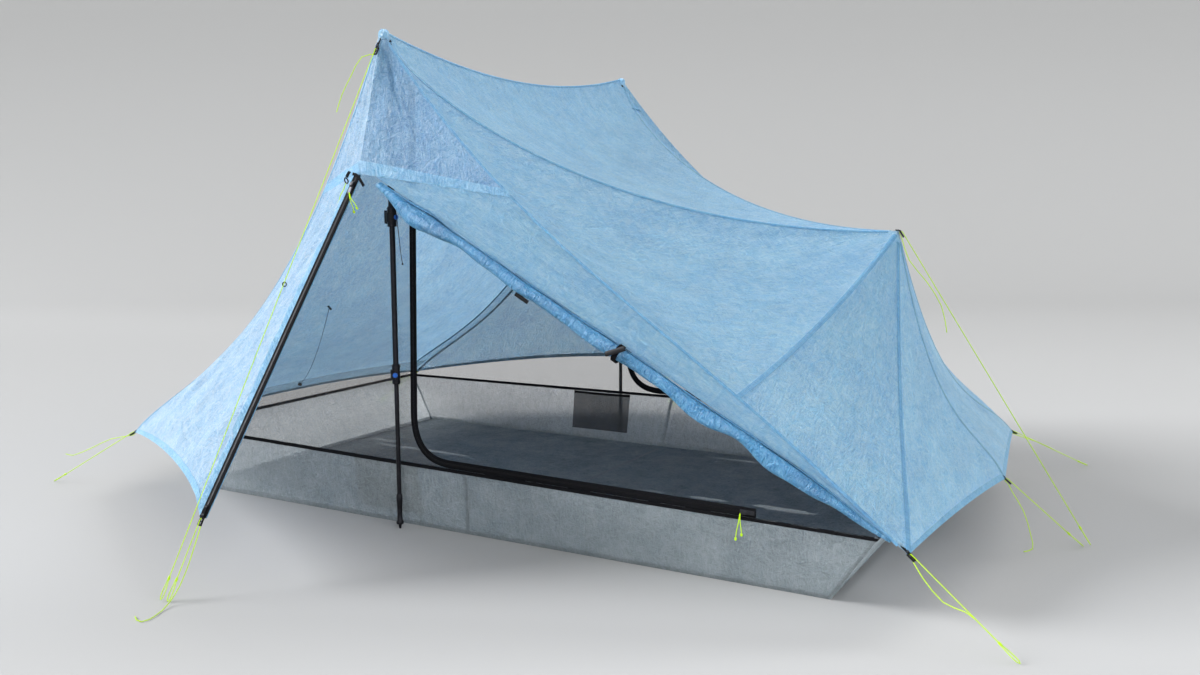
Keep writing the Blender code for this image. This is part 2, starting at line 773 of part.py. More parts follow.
def screen_zip_route(side):
    """The screen door's zip: down beside the pole, round a bend and along the wall's top."""
    lift = Vector((0, 0, ZIP_WIDTH / 2 + SCREEN_ZIP_LIFT))
    top = Vector((SCREEN_ZIP_X, side * NET_TOP_Y, NET_TOP_Z))
    corner = wall_top_spot(side, SCREEN_ZIP_X) + lift
    bend_start = corner + (top - corner).normalized() * SCREEN_ZIP_BEND
    bend_end = wall_top_spot(side, SCREEN_ZIP_X + SCREEN_ZIP_BEND) + lift
    end = wall_top_spot(side, SCREEN_ZIP_END_X) + lift
    drop = straight(top, bend_start, 4)
    bend = []
    for step in range(1, 6):
        share = step / 6
        low = bend_start.lerp(corner, share)
        high = corner.lerp(bend_end, share)
        bend.append(low.lerp(high, share))
    return drop + bend, straight(bend_end, end, 4)


def beside(points, side, distance):
    """A route moved a distance toward the head end in the plane of its long wall."""
    moved = []
    for index, point in enumerate(points):
        along = side_frame(points, index)
        moved.append(point - side * along.cross(Vector((0, side, 0))).normalized() * distance)
    return moved


def build_screens(materials, grids, seams, normals):
    """The mesh walls all round, with the screen doors and their zips."""
    lift = Vector((0, 0, SEAM_GAP + NETTING))
    edge = ZIP_WIDTH / 2 + SEAM_GAP
    middle = Vector((0, 0, WALL_TOP))
    routes = {}
    for name, side in SIDES.items():
        drop, run = screen_zip_route(side)
        routes[name] = (drop, run)
        ribbon(f"zip_tape_screen_{name}", drop + run, Vector((0, side, 0)), ZIP_WIDTH,
               ZIP_THICKNESS, materials["zip"])
        bend = drop + run[:1]
        column = 0 if side == FRONT else -1
        inner_column = 1 if side == FRONT else -2
        head = grids["canopy_head"]
        seam_points = [row[column] for row in head[1:-1]]
        inner_points = [row[inner_column] for row in head[1:-1]]
        right = beside(bend[:-2], side, edge)
        top = right[0] - Vector((2 * edge, 0, 0))
        left = [top, *net_line(seam_points, inner_points, normals)]
        left.append(wall_top_spot(side, WALL_TOP_HEAD_X) + lift)
        base_end = wall_top_spot(side, right[-1].x) + lift
        base = straight(left[-1], base_end, 5)
        rows = patch(left, right + [base_end], base)
        net_normals = shared_normals({"net": rows}, middle)
        sheet(f"mesh_{name}", rows, net_normals, NETTING, materials["net"], middle,
              {"left": SEAM_GAP})
        upper = grids[f"canopy_side_{name}_upper"]
        lower = grids[f"canopy_side_{name}_lower"]
        seam_points = upper[-1][1:] + lower[-1][1:-1]
        inner_points = upper[-2][1:] + lower[-2][1:-1]
        line = net_line(seam_points, inner_points, normals)
        corner = wall_top_spot(side, WALL_TOP_FOOT_X) + run[0] - wall_top_spot(side, run[0].x)
        if name == "back":
            rise = (run[0] - wall_top_spot(side, run[0].x)).normalized() * edge
            left = beside(bend[:-2], side, -edge) + [run[0] + rise]
            right = [left[0] + Vector((2 * edge, 0, 0)), *line, corner + rise]
            rows = patch(left, right, straight(left[-1], right[-1], 5))
            net_normals = shared_normals({"net": rows}, middle)
            sheet("screen_back", rows, net_normals, NETTING, materials["net"], middle)
        else:
            route = [inside(point, normals, SCREEN_ROLL_INSET) for point in seam_points[1:-2]]
            roll("screen_front_roll", route, [SCREEN_ROLL_RADIUS] * len(route),
                 materials["net"])
    build_end_nets(materials, grids, normals)
    return routes


def build_end_nets(materials, grids, normals):
    """The mesh strips between the tub's end walls and the canopy."""
    lift = Vector((0, 0, SEAM_GAP))
    middle = Vector((0, 0, WALL_TOP))
    head = grids["canopy_head"]
    line = []
    for point, inner_point in zip(head[-1], head[-2]):
        near = inside(point, normals, NET_CLEARANCE)
        far = inside(inner_point, normals, NET_CLEARANCE)
        line.append(near.lerp(far, HEAD_NET_SHARE))
    front = tub_corners(FRONT)
    back = tub_corners(BACK)
    ends = {"mesh_head": (line, front[2], back[2])}
    row = grids["canopy_end_front"][-2] + grids["canopy_end_back"][-2][-2::-1]
    ends["mesh_foot"] = ([inside(point, normals, NET_CLEARANCE) for point in row],
                         front[3], back[3])
    for name, (line, one, two) in ends.items():
        wall = straight(one + lift, two + lift, len(line) - 1)
        rows = patch([line[0], wall[0]], [line[-1], wall[-1]], wall, line)
        net_normals = shared_normals({"net": rows}, middle)
        sheet(name, rows, net_normals, NETTING, materials["net"], middle,
              {"left": END_NET_INSET, "right": END_NET_INSET})


# Zips


def zip_slider(name, spot, along, facing, material):
    """A zip slider that lies on the tape, with its pull tab."""
    across = along.cross(facing).normalized()
    base = facing * (ZIP_THICKNESS / 2 + SEAM_GAP)
    bm = bmesh.new()
    outline = [(-SLIDER_LENGTH / 2, 0), (SLIDER_LENGTH / 2 + SLIDER_PULL, 0),
               (SLIDER_LENGTH / 2 + SLIDER_PULL, SLIDER_HEIGHT / 3),
               (SLIDER_LENGTH / 2, SLIDER_HEIGHT / 3), (SLIDER_LENGTH / 3, SLIDER_HEIGHT),
               (-SLIDER_LENGTH / 3, SLIDER_HEIGHT), (-SLIDER_LENGTH / 2, SLIDER_HEIGHT / 2)]
    halves = []
    for sign in (-1, 1):
        halves.append([bm.verts.new(along * step + facing * rise + base
                                    + across * sign * SLIDER_WIDTH / 2)
                       for step, rise in outline])
    bm.faces.new(halves[0][::-1])
    bm.faces.new(halves[1])
    for k in range(len(outline)):
        after = (k + 1) % len(outline)
        bm.faces.new([halves[0][k], halves[0][after], halves[1][after], halves[1][k]])
    thing = finish_object(name, bm, material)
    thing.location = spot
    return thing


def build_zips(materials, routes):
    """The doors' zip tapes and every zip's slider."""
    for name, side in SIDES.items():
        start, end, along, facing = zip_line(side)
        ribbon(f"zip_tape_door_{name}", straight(start, end, 6), facing, ZIP_WIDTH,
               ZIP_THICKNESS, materials["zip"])
        if name == "front":
            spot = start + along * SLIDER_END_SPACE
        else:
            spot = end - along * (SLIDER_END_SPACE + SLIDER_PULL)
        zip_slider(f"zip_slider_door_{name}", spot, along, facing, materials["slider"])
    drop, run = routes["front"]
    along = (run[-1] - run[0]).normalized()
    facing = Vector((0, FRONT, 0))
    facing = (facing - along * facing.dot(along)).normalized()
    zip_slider("zip_slider_screen_front", run[-1] - along * SLIDER_END_SPACE, along, facing,
               materials["slider"])
    drop, run = routes["back"]
    along = (drop[3] - drop[0]).normalized()
    facing = Vector((0, BACK, 0))
    facing = (facing - along * facing.dot(along)).normalized()
    zip_slider("zip_slider_screen_back", drop[0] + along * SLIDER_END_SPACE, along, facing,
               materials["slider"])


# Trekking poles


def pole_radii():
    """The three tubes' outer radii and bores, each running in the next one up."""
    lower = LOWER_RADIUS
    middle_bore = lower + TUBE_CLEARANCE
    middle = middle_bore + TUBE_WALL
    upper_bore = middle + TUBE_CLEARANCE
    upper = upper_bore + TUBE_WALL
    return lower, middle_bore, middle, upper_bore, upper


def lock_plan(dial_angle, tube_radius, side):
    """The plan of a lock: its housing's radius, its pivot's place and the dial's angle."""
    housing = tube_radius + LOCK_WALL
    dial = side * -dial_angle
    pivot_angle = dial + side * LEVER_WRAP_ANGLE
    reach = housing + SEAM_GAP + EYE_RADIUS
    pivot = Vector((reach * math.cos(pivot_angle), reach * math.sin(pivot_angle), 0))
    return housing, pivot, pivot_angle, dial


def around(radius, angle):
    """A point of a circle in plan."""
    return radius * math.cos(angle), radius * math.sin(angle)


def build_lever(name, centre, low, dial_angle, tube_radius, side, material):
    """A clamp lever that wraps round its lock's housing, with the tension dial at its end."""
    housing, pivot, pivot_angle, dial = lock_plan(dial_angle, tube_radius, side)
    inner = housing + SEAM_GAP
    outer = inner + LEVER_THICKNESS
    steps = 10
    turn = -side
    start = pivot_angle
    sweep_angle = side * -1 * LEVER_WRAP_ANGLE
    eye_share = math.asin(EYE_RADIUS / (inner + EYE_RADIUS))
    outline = []
    for step in range(steps + 1):
        angle = start + turn * eye_share + (sweep_angle - turn * eye_share) * step / steps
        outline.append(around(inner, angle))
    for step in range(steps + 1):
        angle = start + sweep_angle - (sweep_angle - turn * eye_share) * step / steps
        outline.append(around(outer, angle))
    eye_x, eye_y = pivot.x, pivot.y
    join_angle = math.atan2(outline[-1][1] - eye_y, outline[-1][0] - eye_x)
    end_angle = math.atan2(outline[0][1] - eye_y, outline[0][0] - eye_x)
    span = (end_angle - join_angle) * -turn
    span = span % (2 * math.pi)
    eye_steps = 8
    for step in range(1, eye_steps):
        angle = join_angle - turn * span * step / eye_steps
        outline.append((eye_x + EYE_RADIUS * math.cos(angle),
                        eye_y + EYE_RADIUS * math.sin(angle)))
    outline = [(x - pivot.x, y - pivot.y) for x, y in outline]
    lever = prism(name, outline, low + SEAM_GAP, low + LEVER_HEIGHT - SEAM_GAP, material)
    lever.location = centre + pivot
    out = Vector((math.cos(dial), math.sin(dial), 0))
    bm = bmesh.new()
    bmesh.ops.create_cone(bm, cap_ends=True, segments=12, radius1=DIAL_RADIUS,
                          radius2=DIAL_RADIUS, depth=DIAL_HEIGHT)
    turn_out = Vector((0, 0, 1)).rotation_difference(out).to_matrix().to_4x4()
    spot = out * (outer + DIAL_HEIGHT / 2 - SEAM_GAP * 2)
    height = Vector((0, 0, low + LEVER_HEIGHT / 2))
    bm.transform(Matrix.Translation(centre + spot + height) @ turn_out)
    dial_shape = finish_object(name + "_dial_guide", bm, material)
    add_union(lever, dial_shape)
    return lever


def add_ears(tube, name, centre, low, dial_angle, tube_radius, side, material):
    """The two ears of a lock's housing, which hold the lever's eye between them."""
    housing, pivot, pivot_angle, _ = lock_plan(dial_angle, tube_radius, side)
    for index, start in enumerate((low - EAR_HEIGHT, low + LEVER_HEIGHT)):
        across = Vector((-math.sin(pivot_angle), math.cos(pivot_angle), 0))
        out = Vector((math.cos(pivot_angle), math.sin(pivot_angle), 0))
        root = out * (housing - EAR_SINK)
        outline = [root - across * EYE_RADIUS]
        for step in range(7):
            angle = math.pi * (step / 6 - 0.5)
            outline.append(pivot + (out * math.cos(angle) + across * math.sin(angle))
                           * EYE_RADIUS)
        outline.append(root + across * EYE_RADIUS)
        flat = [(centre.x + spot.x, centre.y + spot.y) for spot in outline]
        ear = prism(f"{name}_ear_guide_{index}", flat, start, start + EAR_HEIGHT, material)
        add_union(tube, ear)


def build_pole(name, side, cup_bottom, materials):
    """One trekking pole: grip, three tubes, two clamp levers."""
    centre = Vector((POLE_X, side * POLE_Y, 0))
    lower, middle_bore, middle, upper_bore, upper = pole_radii()
    grip_top = cup_bottom - SEAM_GAP
    grip_low = grip_top - GRIP_LENGTH
    bore = upper + SEAM_GAP
    bore_top = grip_top - GRIP_ROUND - LOCK_WALL
    turned(f"pole_{name}_grip",
           [(bore, grip_low), (GRIP_RADIUS, grip_low), (GRIP_RADIUS, grip_top - GRIP_ROUND),
            (GRIP_TOP_RADIUS, grip_top), (0, grip_top), (0, bore_top), (bore, bore_top)],
           centre, materials["foam"], closed=True)
    upper_top = bore_top - SEAM_GAP
    lever_space = (LOCK_HEIGHT - LEVER_HEIGHT) / 2
    housing = upper + LOCK_WALL
    lock_top = UPPER_LOCK_Z + LOCK_HEIGHT
    tube = turned(f"pole_{name}_upper",
                  [(upper_bore, UPPER_LOCK_Z), (housing, UPPER_LOCK_Z), (housing, lock_top),
                   (upper, lock_top + LOCK_WALL), (upper, upper_top), (upper_bore, upper_top)],
                  centre, materials["tube"], closed=True)
    low = UPPER_LOCK_Z + lever_space
    add_ears(tube, f"pole_{name}_upper", centre, low, UPPER_LOCK_ANGLE, upper, side,
             materials["tube"])
    build_lever(f"pole_{name}_upper_lever", centre, low, UPPER_LOCK_ANGLE, upper, side,
                materials["lever"])
    housing = middle + LOCK_WALL
    lock_top = LOWER_LOCK_Z + LOCK_HEIGHT
    middle_top = UPPER_LOCK_Z + LOCK_HEIGHT + TUBE_OVERLAP
    tube = turned(f"pole_{name}_middle",
                  [(middle_bore, LOWER_LOCK_Z), (housing, LOWER_LOCK_Z), (housing, lock_top),
                   (middle, lock_top + LOCK_WALL), (middle, middle_top),
                   (middle_bore, middle_top)],
                  centre, materials["tube"], closed=True)
    low = LOWER_LOCK_Z + lever_space
    add_ears(tube, f"pole_{name}_middle", centre, low, LOWER_LOCK_ANGLE, middle, side,
             materials["tube"])
    build_lever(f"pole_{name}_lower_lever", centre, low, LOWER_LOCK_ANGLE, middle, side,
                materials["lever"])
    lower_top = LOWER_LOCK_Z + LOCK_HEIGHT + TUBE_OVERLAP
    turned(f"pole_{name}_lower",
           [(0, 0), (TIP_RADIUS, 0), (TIP_RADIUS, TIP_HEIGHT), (FERRULE_RADIUS, TIP_HEIGHT),
            (FERRULE_RADIUS, FERRULE_NECK_Z), (LOWER_RADIUS + TUBE_WALL, FERRULE_TOP_Z),
            (LOWER_RADIUS, FERRULE_TOP_Z), (LOWER_RADIUS, lower_top), (0, lower_top)],
           centre, materials["tube"], closed=False)


def build_cup(name, side, grids, seam, material):
    """The reinforced cup sewn inside a peak, which the pole's grip presses into."""
    beak = grids[f"beak_{name}"]
    peak = seam["roof"][-1]
    ridge = grids["canopy_roof"][-1]
    ridge_point = ridge[1] if side == FRONT else ridge[-2]
    fold_column = len(seam["beak_hem_head"]) - 1
    rays = [ridge_point, seam["roof"][-2], seam["peak_to_beak"][1], beak[1][fold_column],
            seam["peak_to_beak_head"][1]]
    rays = [(point - peak).normalized() for point in rays]
    axis = Vector((POLE_X, side * POLE_Y, peak.z - CUP_DEPTH)) - peak
    axis.normalize()
    least = 1.0
    for one, two in zip(rays, rays[1:] + rays[:1]):
        face = one.cross(two).normalized()
        least = min(least, abs(face.dot(axis)))
    point = peak + axis * CUP_SEAT / least
    bm = bmesh.new()
    tip = bm.verts.new(point)
    ring = []
    for ray in rays:
        reach = min(CUP_DEPTH / -ray.z, CUP_REACH)
        ring.append(bm.verts.new(point + ray * reach))
    bottom = point.z - CUP_DEPTH
    centre = bm.verts.new((POLE_X, side * POLE_Y, bottom))
    for k in range(len(ring)):
        after = (k + 1) % len(ring)
        bm.faces.new([tip, ring[k], ring[after]])
        bm.faces.new([centre, ring[after], ring[k]])
    finish_object(f"peak_cup_{name}", bm, material)
    return bottom


# Guylines


def curve_through(points, steps):
    """A smooth curve through a route's points, with a number of steps for each stretch."""
    result = [points[0]]
    for k in range(len(points) - 1):
        before = points[max(k - 1, 0)]
        one = points[k]
        two = points[k + 1]
        after = points[min(k + 2, len(points) - 1)]
        span = (two - one).length
        start_pull = (two - before).normalized() * span
        end_pull = (after - one).normalized() * span
        for step in range(1, steps[k] + 1):
            s = step / steps[k]
            result.append((2 * s ** 3 - 3 * s ** 2 + 1) * one + (s ** 3 - 2 * s ** 2 + s) * start_pull
                          + (3 * s ** 2 - 2 * s ** 3) * two + (s ** 3 - s ** 2) * end_pull)
    return result


def build_cord(name, points, material):
    """A round cord along a route of points."""
    curve = bpy.data.curves.new(name, "CURVE")
    curve.dimensions = "3D"
    curve.bevel_depth = CORD_RADIUS
    curve.bevel_resolution = 2
    curve.use_fill_caps = True
    spline = curve.splines.new("POLY")
    spline.points.add(len(points) - 1)
    for place, point in zip(spline.points, points):
        place.co = (*point, 1.0)
    curve.materials.append(material)
    thing = bpy.data.objects.new(name, curve)
    bpy.context.scene.collection.objects.link(thing)
    return thing


def guyline_route(seat, space, stake, tail):
    """A guyline: its free tail, its turn at the corner, its taut run and its stake loop."""
    along = (stake - seat).normalized()
    down = Vector((0, 0, -1))
    below = (down - along * down.dot(along)).normalized()
    aside = along.cross(below)
    centre = seat + along * (space + CORD_RADIUS + LOCK_TURN)
    turn = [centre + below * LOCK_TURN, centre - along * LOCK_TURN, centre - below * LOCK_TURN]
    run_start = turn[-1] + along * LOCK_TURN * 2
    knot = stake - along * STAKE_LOOP_LENGTH
    half = STAKE_LOOP_WIDTH / 2
    loop = [knot + along * (STAKE_LOOP_LENGTH * share) + aside * half * swing
            for share, swing in STAKE_LOOP_SHARES]
    route = [*tail[::-1], turn[0] + along * LOCK_TURN * 2, *turn, run_start, knot, *loop]
    steps = [2] * (len(tail)) + [1, 2, 2, 1, 1] + [1] + [2] * (len(loop) - 1)
    return curve_through(route, steps)


def build_guylines(materials, grids, seams):
    """Every guyline of the tent."""
    for name, side in SIDES.items():
        at = canopy_places(side)
        beak = grids[f"beak_{name}"]
        fold_column = len(seams[name]["beak_hem_head"]) - 1
        fold = beak[1][fold_column]
        tab = at["peak"].lerp(fold, PEAK_TAB_SHARE)
        out = Vector((0, side, 0))
        seats = {
            f"guyline_peak_{name}": (tab + out * PEAK_CORD_SPACE, OTHER_CORD_SEAT),
            f"guyline_door_{name}": (at["door_foot"], OTHER_CORD_SEAT),
            f"guyline_head_{name}": (at["head_corner"], HEAD_CORD_SEAT),
            f"guyline_foot_{name}": (at["foot_corner"], FOOT_CORD_SEAT),
        }
        if side == FRONT:
            end_seat = at["foot_peak"] + Vector((END_PEAK_CORD_SPACE, 0, 0))
            seats["guyline_end_peak"] = (end_seat, OTHER_CORD_SEAT)
            seats["guyline_end_centre"] = (at["end_centre"], END_CORD_SEAT)
        for cord_name, (seat, space) in seats.items():
            stake, tail = GUYLINE_ENDS[cord_name]
            points = guyline_route(seat, space, Vector(stake), [Vector(point) for point in tail])
            build_cord(cord_name, points, materials["cord"])


def main():
    """Build the whole tent."""
    clear_scene()
    materials = make_materials()
    grids, seams, normals = build_canopy(materials)
    front_at = canopy_places(FRONT)
    roll_line = straight(front_at["foot_corner"], front_at["beak_tip"], DOOR_ROLL_STEPS)[1:-1]
    radii = [roll_radius(step / DOOR_ROLL_STEPS) for step in range(1, DOOR_ROLL_STEPS)]
    roll("door_front_right_roll", roll_line, radii, materials["canopy"])
    build_tub(materials)
    routes = build_screens(materials, grids, seams, normals)
    build_zips(materials, routes)
    for name, side in SIDES.items():
        cup_bottom = build_cup(name, side, grids, seams[name], materials["cup"])
        build_pole(name, side, cup_bottom, materials)
    build_guylines(materials, grids, seams)


main()
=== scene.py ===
# %% [markdown]
# # A trekking pole tent, dressed for a photograph
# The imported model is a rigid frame: thin solids that stand where each panel, tube and cord of
# the tent stands. This lesson dresses that frame. It cuts smooth cloth panels from the same
# seams, adds tapes, zips, netting, webbing and cords, and gives each of them a material made
# of nodes. Every length is in metres. X runs from the head end to the foot end, Y from the
# open front door to the closed back door, and Z is up.

# %% Load the frame
import math

import bmesh
import bpy
from mathutils import Matrix, Vector, noise


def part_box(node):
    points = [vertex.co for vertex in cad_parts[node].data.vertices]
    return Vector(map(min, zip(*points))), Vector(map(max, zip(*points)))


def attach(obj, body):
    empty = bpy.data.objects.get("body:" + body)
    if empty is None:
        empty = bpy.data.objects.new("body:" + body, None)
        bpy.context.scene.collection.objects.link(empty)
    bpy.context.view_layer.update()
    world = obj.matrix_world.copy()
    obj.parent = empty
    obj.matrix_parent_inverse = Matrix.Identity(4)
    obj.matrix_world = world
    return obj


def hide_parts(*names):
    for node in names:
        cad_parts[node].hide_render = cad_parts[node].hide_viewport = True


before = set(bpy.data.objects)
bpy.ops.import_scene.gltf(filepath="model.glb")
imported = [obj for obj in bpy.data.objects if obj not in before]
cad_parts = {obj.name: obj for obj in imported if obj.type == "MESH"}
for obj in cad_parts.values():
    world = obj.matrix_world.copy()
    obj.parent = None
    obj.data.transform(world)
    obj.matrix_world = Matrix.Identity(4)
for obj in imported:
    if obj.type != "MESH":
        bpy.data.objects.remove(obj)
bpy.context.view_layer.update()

FRONT, BACK = -1, 1
SIDES = {"front": FRONT, "back": BACK}

# %% [markdown]
# The camera stands where the photographer stood: off the foot end's front corner, at waist
# height, looking a little down. Its axes are built from a heading, a tilt and a slight roll,
# and its lens comes from a focal length in pixels of a picture 1200 pixels wide.

# %% Camera
def make_camera(place, heading, tilt, roll, focal_pixels, picture_width=1200):
    """A camera from its place, its three angles in degrees and its focal length in pixels."""
    h, t, r = (math.radians(v) for v in (heading, tilt, roll))
    forward = Vector((-math.sin(h) * math.cos(t), math.cos(h) * math.cos(t), math.sin(t)))
    right = Vector((math.cos(h), math.sin(h), 0))
    up = right.cross(forward)
    across = right * math.cos(r) + up * math.sin(r)
    over = -right * math.sin(r) + up * math.cos(r)
    camera = bpy.data.objects.new("camera", bpy.data.cameras.new("camera"))
    bpy.context.scene.collection.objects.link(camera)
    camera.matrix_world = Matrix.Translation(place) @ Matrix((across, over, -forward)).transposed().to_4x4()
    camera.data.sensor_width = 36
    camera.data.lens = 36 * focal_pixels / picture_width
    camera.data.clip_end = 60
    bpy.context.scene.camera = camera
    return camera


CAMERA_HEADING = 29.2422
camera = make_camera(Vector((1.7593, -2.9496, 0.9109)), CAMERA_HEADING, -7.1903, -0.1779, 1077.19)
print("camera lens", round(camera.data.lens, 2), "mm")

# %% [markdown]
# A pitched tent hangs in catenary curves between its peaks and its stakes. Each seam is a
# straight line with a fall added to it, and the fall is deepest nearer the upper end. The
# named places are the ones the frame was cut from, so the cloth lands on its solids.

# %% Places and seam curves
PEAK, FOOT_PEAK = (-0.175, 0.675, 1.365), (1.035, 0, 0.83)
HEAD_CORNER, FOOT_CORNER = (-1.205, 0.715, 0.18), (1.25, 0.70, 0.165)
END_CENTRE, BEAK_TIP, DOOR_FOOT = (1.335, 0, 0.18), (-0.185, 0.77, 0.985), (-0.265, 1.255, 0.175)
BEAK_FOOT_SHARE, BEAK_HEAD_SHARE, BRACE_SHARE = 0.295, 0.216, 0.724
ZIP_WIDTH, CLOTH = 0.022, 0.0007
UP, DOWN = Vector((0, 0, 1)), Vector((0, 0, -1))
TINY = 1e-6


def place(spot, side):
    """A named place on one side of the tent."""
    return Vector((spot[0], side * spot[1], spot[2]))


def straight(start, end, steps):
    """Evenly spaced points from start to end."""
    return [start.lerp(end, step / steps) for step in range(steps + 1)]


def direction_at(points, k):
    """The direction of a run at one of its points."""
    return (points[min(k + 1, len(points) - 1)] - points[max(k - 1, 0)]).normalized()


def hang(start, end, drop, steps, peak_share=0.5, low=0.0, high=1.0):
    """Points of a hanging seam from start to end, or of the stretch between two shares of it."""
    power = (1 - peak_share) / peak_share
    top = peak_share * (1 - peak_share) ** power
    points = []
    for step in range(steps + 1):
        share = low + (high - low) * step / steps
        fall = drop * share * max(1 - share, 0) ** power / top
        points.append(start.lerp(end, share) - Vector((0, 0, fall)))
    return points


def length_shares(points):
    """How far along a run each of its points lies, as a share of the run's length."""
    lengths = [0.0]
    for one, two in zip(points, points[1:]):
        lengths.append(lengths[-1] + (two - one).length)
    return [length / lengths[-1] for length in lengths]


def run_length(points):
    """The length of a run of points."""
    return sum((two - one).length for one, two in zip(points, points[1:]))


print("peaks", PEAK[2], "m and", FOOT_PEAK[2], "m high")

# %% [markdown]
# A panel is a curved sheet between its seams. A cloth simulation could settle it, but would
# settle differently after each change. A patch that blends four curves always lands on them.

# %% A sheet between four curves
CUP_HEAD_RADIUS = 0.0250
CUP_HEAD_CENTRE = (PEAK[0] + 0.004, PEAK[1] - 0.008, PEAK[2] - 0.0235)


def blunted(point):
    """A point of the canopy pushed out of the round head of the pole cup below each peak."""
    for side in (FRONT, BACK):
        centre = place(CUP_HEAD_CENTRE, side)
        away = point - centre
        if away.length < CUP_HEAD_RADIUS:
            return centre + away.normalized() * CUP_HEAD_RADIUS
    return point


def patch(left, right, base, top=None):
    """A grid of points between two side curves, a base curve and a top curve."""
    across_shares = length_shares(base)
    rows = []
    for i, down in enumerate(length_shares(left)):
        row = []
        for j, point in enumerate(base):
            across = across_shares[j]
            spot = left[i].lerp(right[i], across)
            spot = spot + down * (point - base[0].lerp(base[-1], across))
            if top:
                spot = spot + (1 - down) * (top[j] - top[0].lerp(top[-1], across))
            row.append(spot)
        rows.append(row)
    return rows


print("round head of a cup", CUP_HEAD_RADIUS, "m")

# %% [markdown]
# Both sides of the tent have the same seams and hems. Lists of points could give them, but a
# few falls and shares are easier to change, and each panel follows the seams it meets.

# %% The seams of one side
def zip_edge(side, steps, toward_foot):
    """A door's edge beside its zip, toward the head end or the foot end."""
    across = Vector((toward_foot * (ZIP_WIDTH / 2 - 0.003), 0, 0))
    return [p + across for p in straight(place(BEAK_TIP, side), place(DOOR_FOOT, side), steps)]


ROLL_RADIUS = 0.020


def roll_radius(share):
    """The rolled door's radius, a share of the way from the foot corner to the beak's tip."""
    return ROLL_RADIUS * min(share * 6.0, 1)


def canopy_seams(side):
    """The seams and hems of one side."""
    peak, foot_peak = place(PEAK, side), place(FOOT_PEAK, side)
    head_corner, foot_corner = place(HEAD_CORNER, side), place(FOOT_CORNER, side)
    end_centre, tip = place(END_CENTRE, side), place(BEAK_TIP, side)
    side_stops = (0.0, BEAK_FOOT_SHARE, BRACE_SHARE, 1.0)
    side_parts = [hang(peak, foot_corner, 0.091, steps, 0.30, low, high)
                  for low, high, steps in zip(side_stops, side_stops[1:], (14, 24, 18))]
    head_parts = [hang(peak, head_corner, 0.225, steps, 0.41, low, high)
                  for low, high, steps in ((0.0, BEAK_HEAD_SHARE, 14), (BEAK_HEAD_SHARE, 1.0, 42))]
    seams = {
        "roof": hang(foot_peak, peak, 0.178, 48, 0.60),
        "brace": hang(foot_peak, side_parts[1][-1], 0.03, 48),
        "end": hang(foot_peak, foot_corner, 0.145, 48, 0.38),
        "end_middle": hang(foot_peak, end_centre, 0.145, 48, 0.38),
        "end_hem": hang(foot_corner, end_centre, -0.012, 30),
        "peak_to_beak": side_parts[0], "beak_to_brace": side_parts[1],
        "brace_to_foot": side_parts[2],
        "peak_to_beak_head": head_parts[0], "beak_to_head": head_parts[1],
        "beak_hem_head": straight(head_parts[0][-1], tip, 12),
        "beak_hem_foot": straight(tip, side_parts[0][-1], 20),
        "zip_head_edge": zip_edge(side, 42, -1), "zip_foot_edge": zip_edge(side, 42, 1),
    }
    for end, corner in (("head", head_corner), ("foot", foot_corner)):
        seams[f"{end}_door_hem"] = hang(corner, seams[f"zip_{end}_edge"][-1], -0.065, 24, 0.72)
    along = (tip - foot_corner).normalized()
    seam = (side_parts[1] + side_parts[2][1:])[::-1]
    edge = []
    for k, over in enumerate(seam):
        share = k / (len(seam) - 1)
        spot = foot_corner.lerp(tip, share)
        up = over - spot
        up = up - along * up.dot(along)
        up = up.normalized() if up.length > TINY else UP
        edge.append(spot + up * roll_radius(share))
    seams["roll_edge"] = edge
    return seams


print("seams on a side", len(canopy_seams(FRONT)))

# %% [markdown]
# Each panel is the patch between neighbouring seams. It takes the name of its frame node, so
# a later step can say which node its cloth stands for.

# %% The canopy's panels
def canopy_panels():
    """Every panel of the canopy as a grid of points, by its node's name."""
    grids = {}
    seams = {name: canopy_seams(side) for name, side in SIDES.items()}
    front, back = seams["front"], seams["back"]
    ridge = hang(front["roof"][-1], back["roof"][-1], 0.075, 40)
    grids["canopy_roof"] = patch(front["roof"], back["roof"], ridge)
    heads = [seam["peak_to_beak_head"] + seam["beak_to_head"][1:] for seam in (front, back)]
    head_hem = hang(heads[0][-1], heads[1][-1], -0.03, 40)
    grids["canopy_head"] = patch(*heads, head_hem, ridge)
    for name, seam in seams.items():
        upper = seam["peak_to_beak"] + seam["beak_to_brace"][1:]
        long_seam = seam["beak_to_brace"] + seam["brace_to_foot"][1:]
        grids[f"canopy_side_{name}_upper"] = patch(seam["roof"], seam["brace"], upper)
        grids[f"canopy_side_{name}_lower"] = patch(seam["brace"], seam["end"], seam["brace_to_foot"])
        grids[f"canopy_end_{name}"] = patch(seam["end"], seam["end_middle"], seam["end_hem"])
        grids[f"beak_{name}"] = patch(seam["peak_to_beak_head"], seam["peak_to_beak"],
                                      seam["beak_hem_head"] + seam["beak_hem_foot"][1:])
        edge = seam["zip_head_edge"]
        grids[f"door_{name}_left"] = patch(seam["beak_to_head"], edge, seam["head_door_hem"],
                                           straight(seam["beak_to_head"][0], edge[0], 24))
        if name == "front":
            edge = seam["roll_edge"]
            grids["door_front_right"] = patch(long_seam[::-1], edge, straight(long_seam[0], edge[-1], 20))
        else:
            edge = seam["zip_foot_edge"]
            grids["door_back_right"] = patch(long_seam, edge, seam["foot_door_hem"],
                                             straight(long_seam[0], edge[0], 24))
    return grids, seams


panels, seams = canopy_panels()
print(len(panels), "panels;", "long seam", round(run_length(seams["front"]["beak_to_brace"]), 3), "m")

# %% [markdown]
# The tent's cloth is a laminate: a blue film over straight fibres that cross at chance
# angles, so that light comes through it in clouds. The fibre and crinkle effects serve the
# canopy, its tapes and the floor, so each is a shader group, built once.

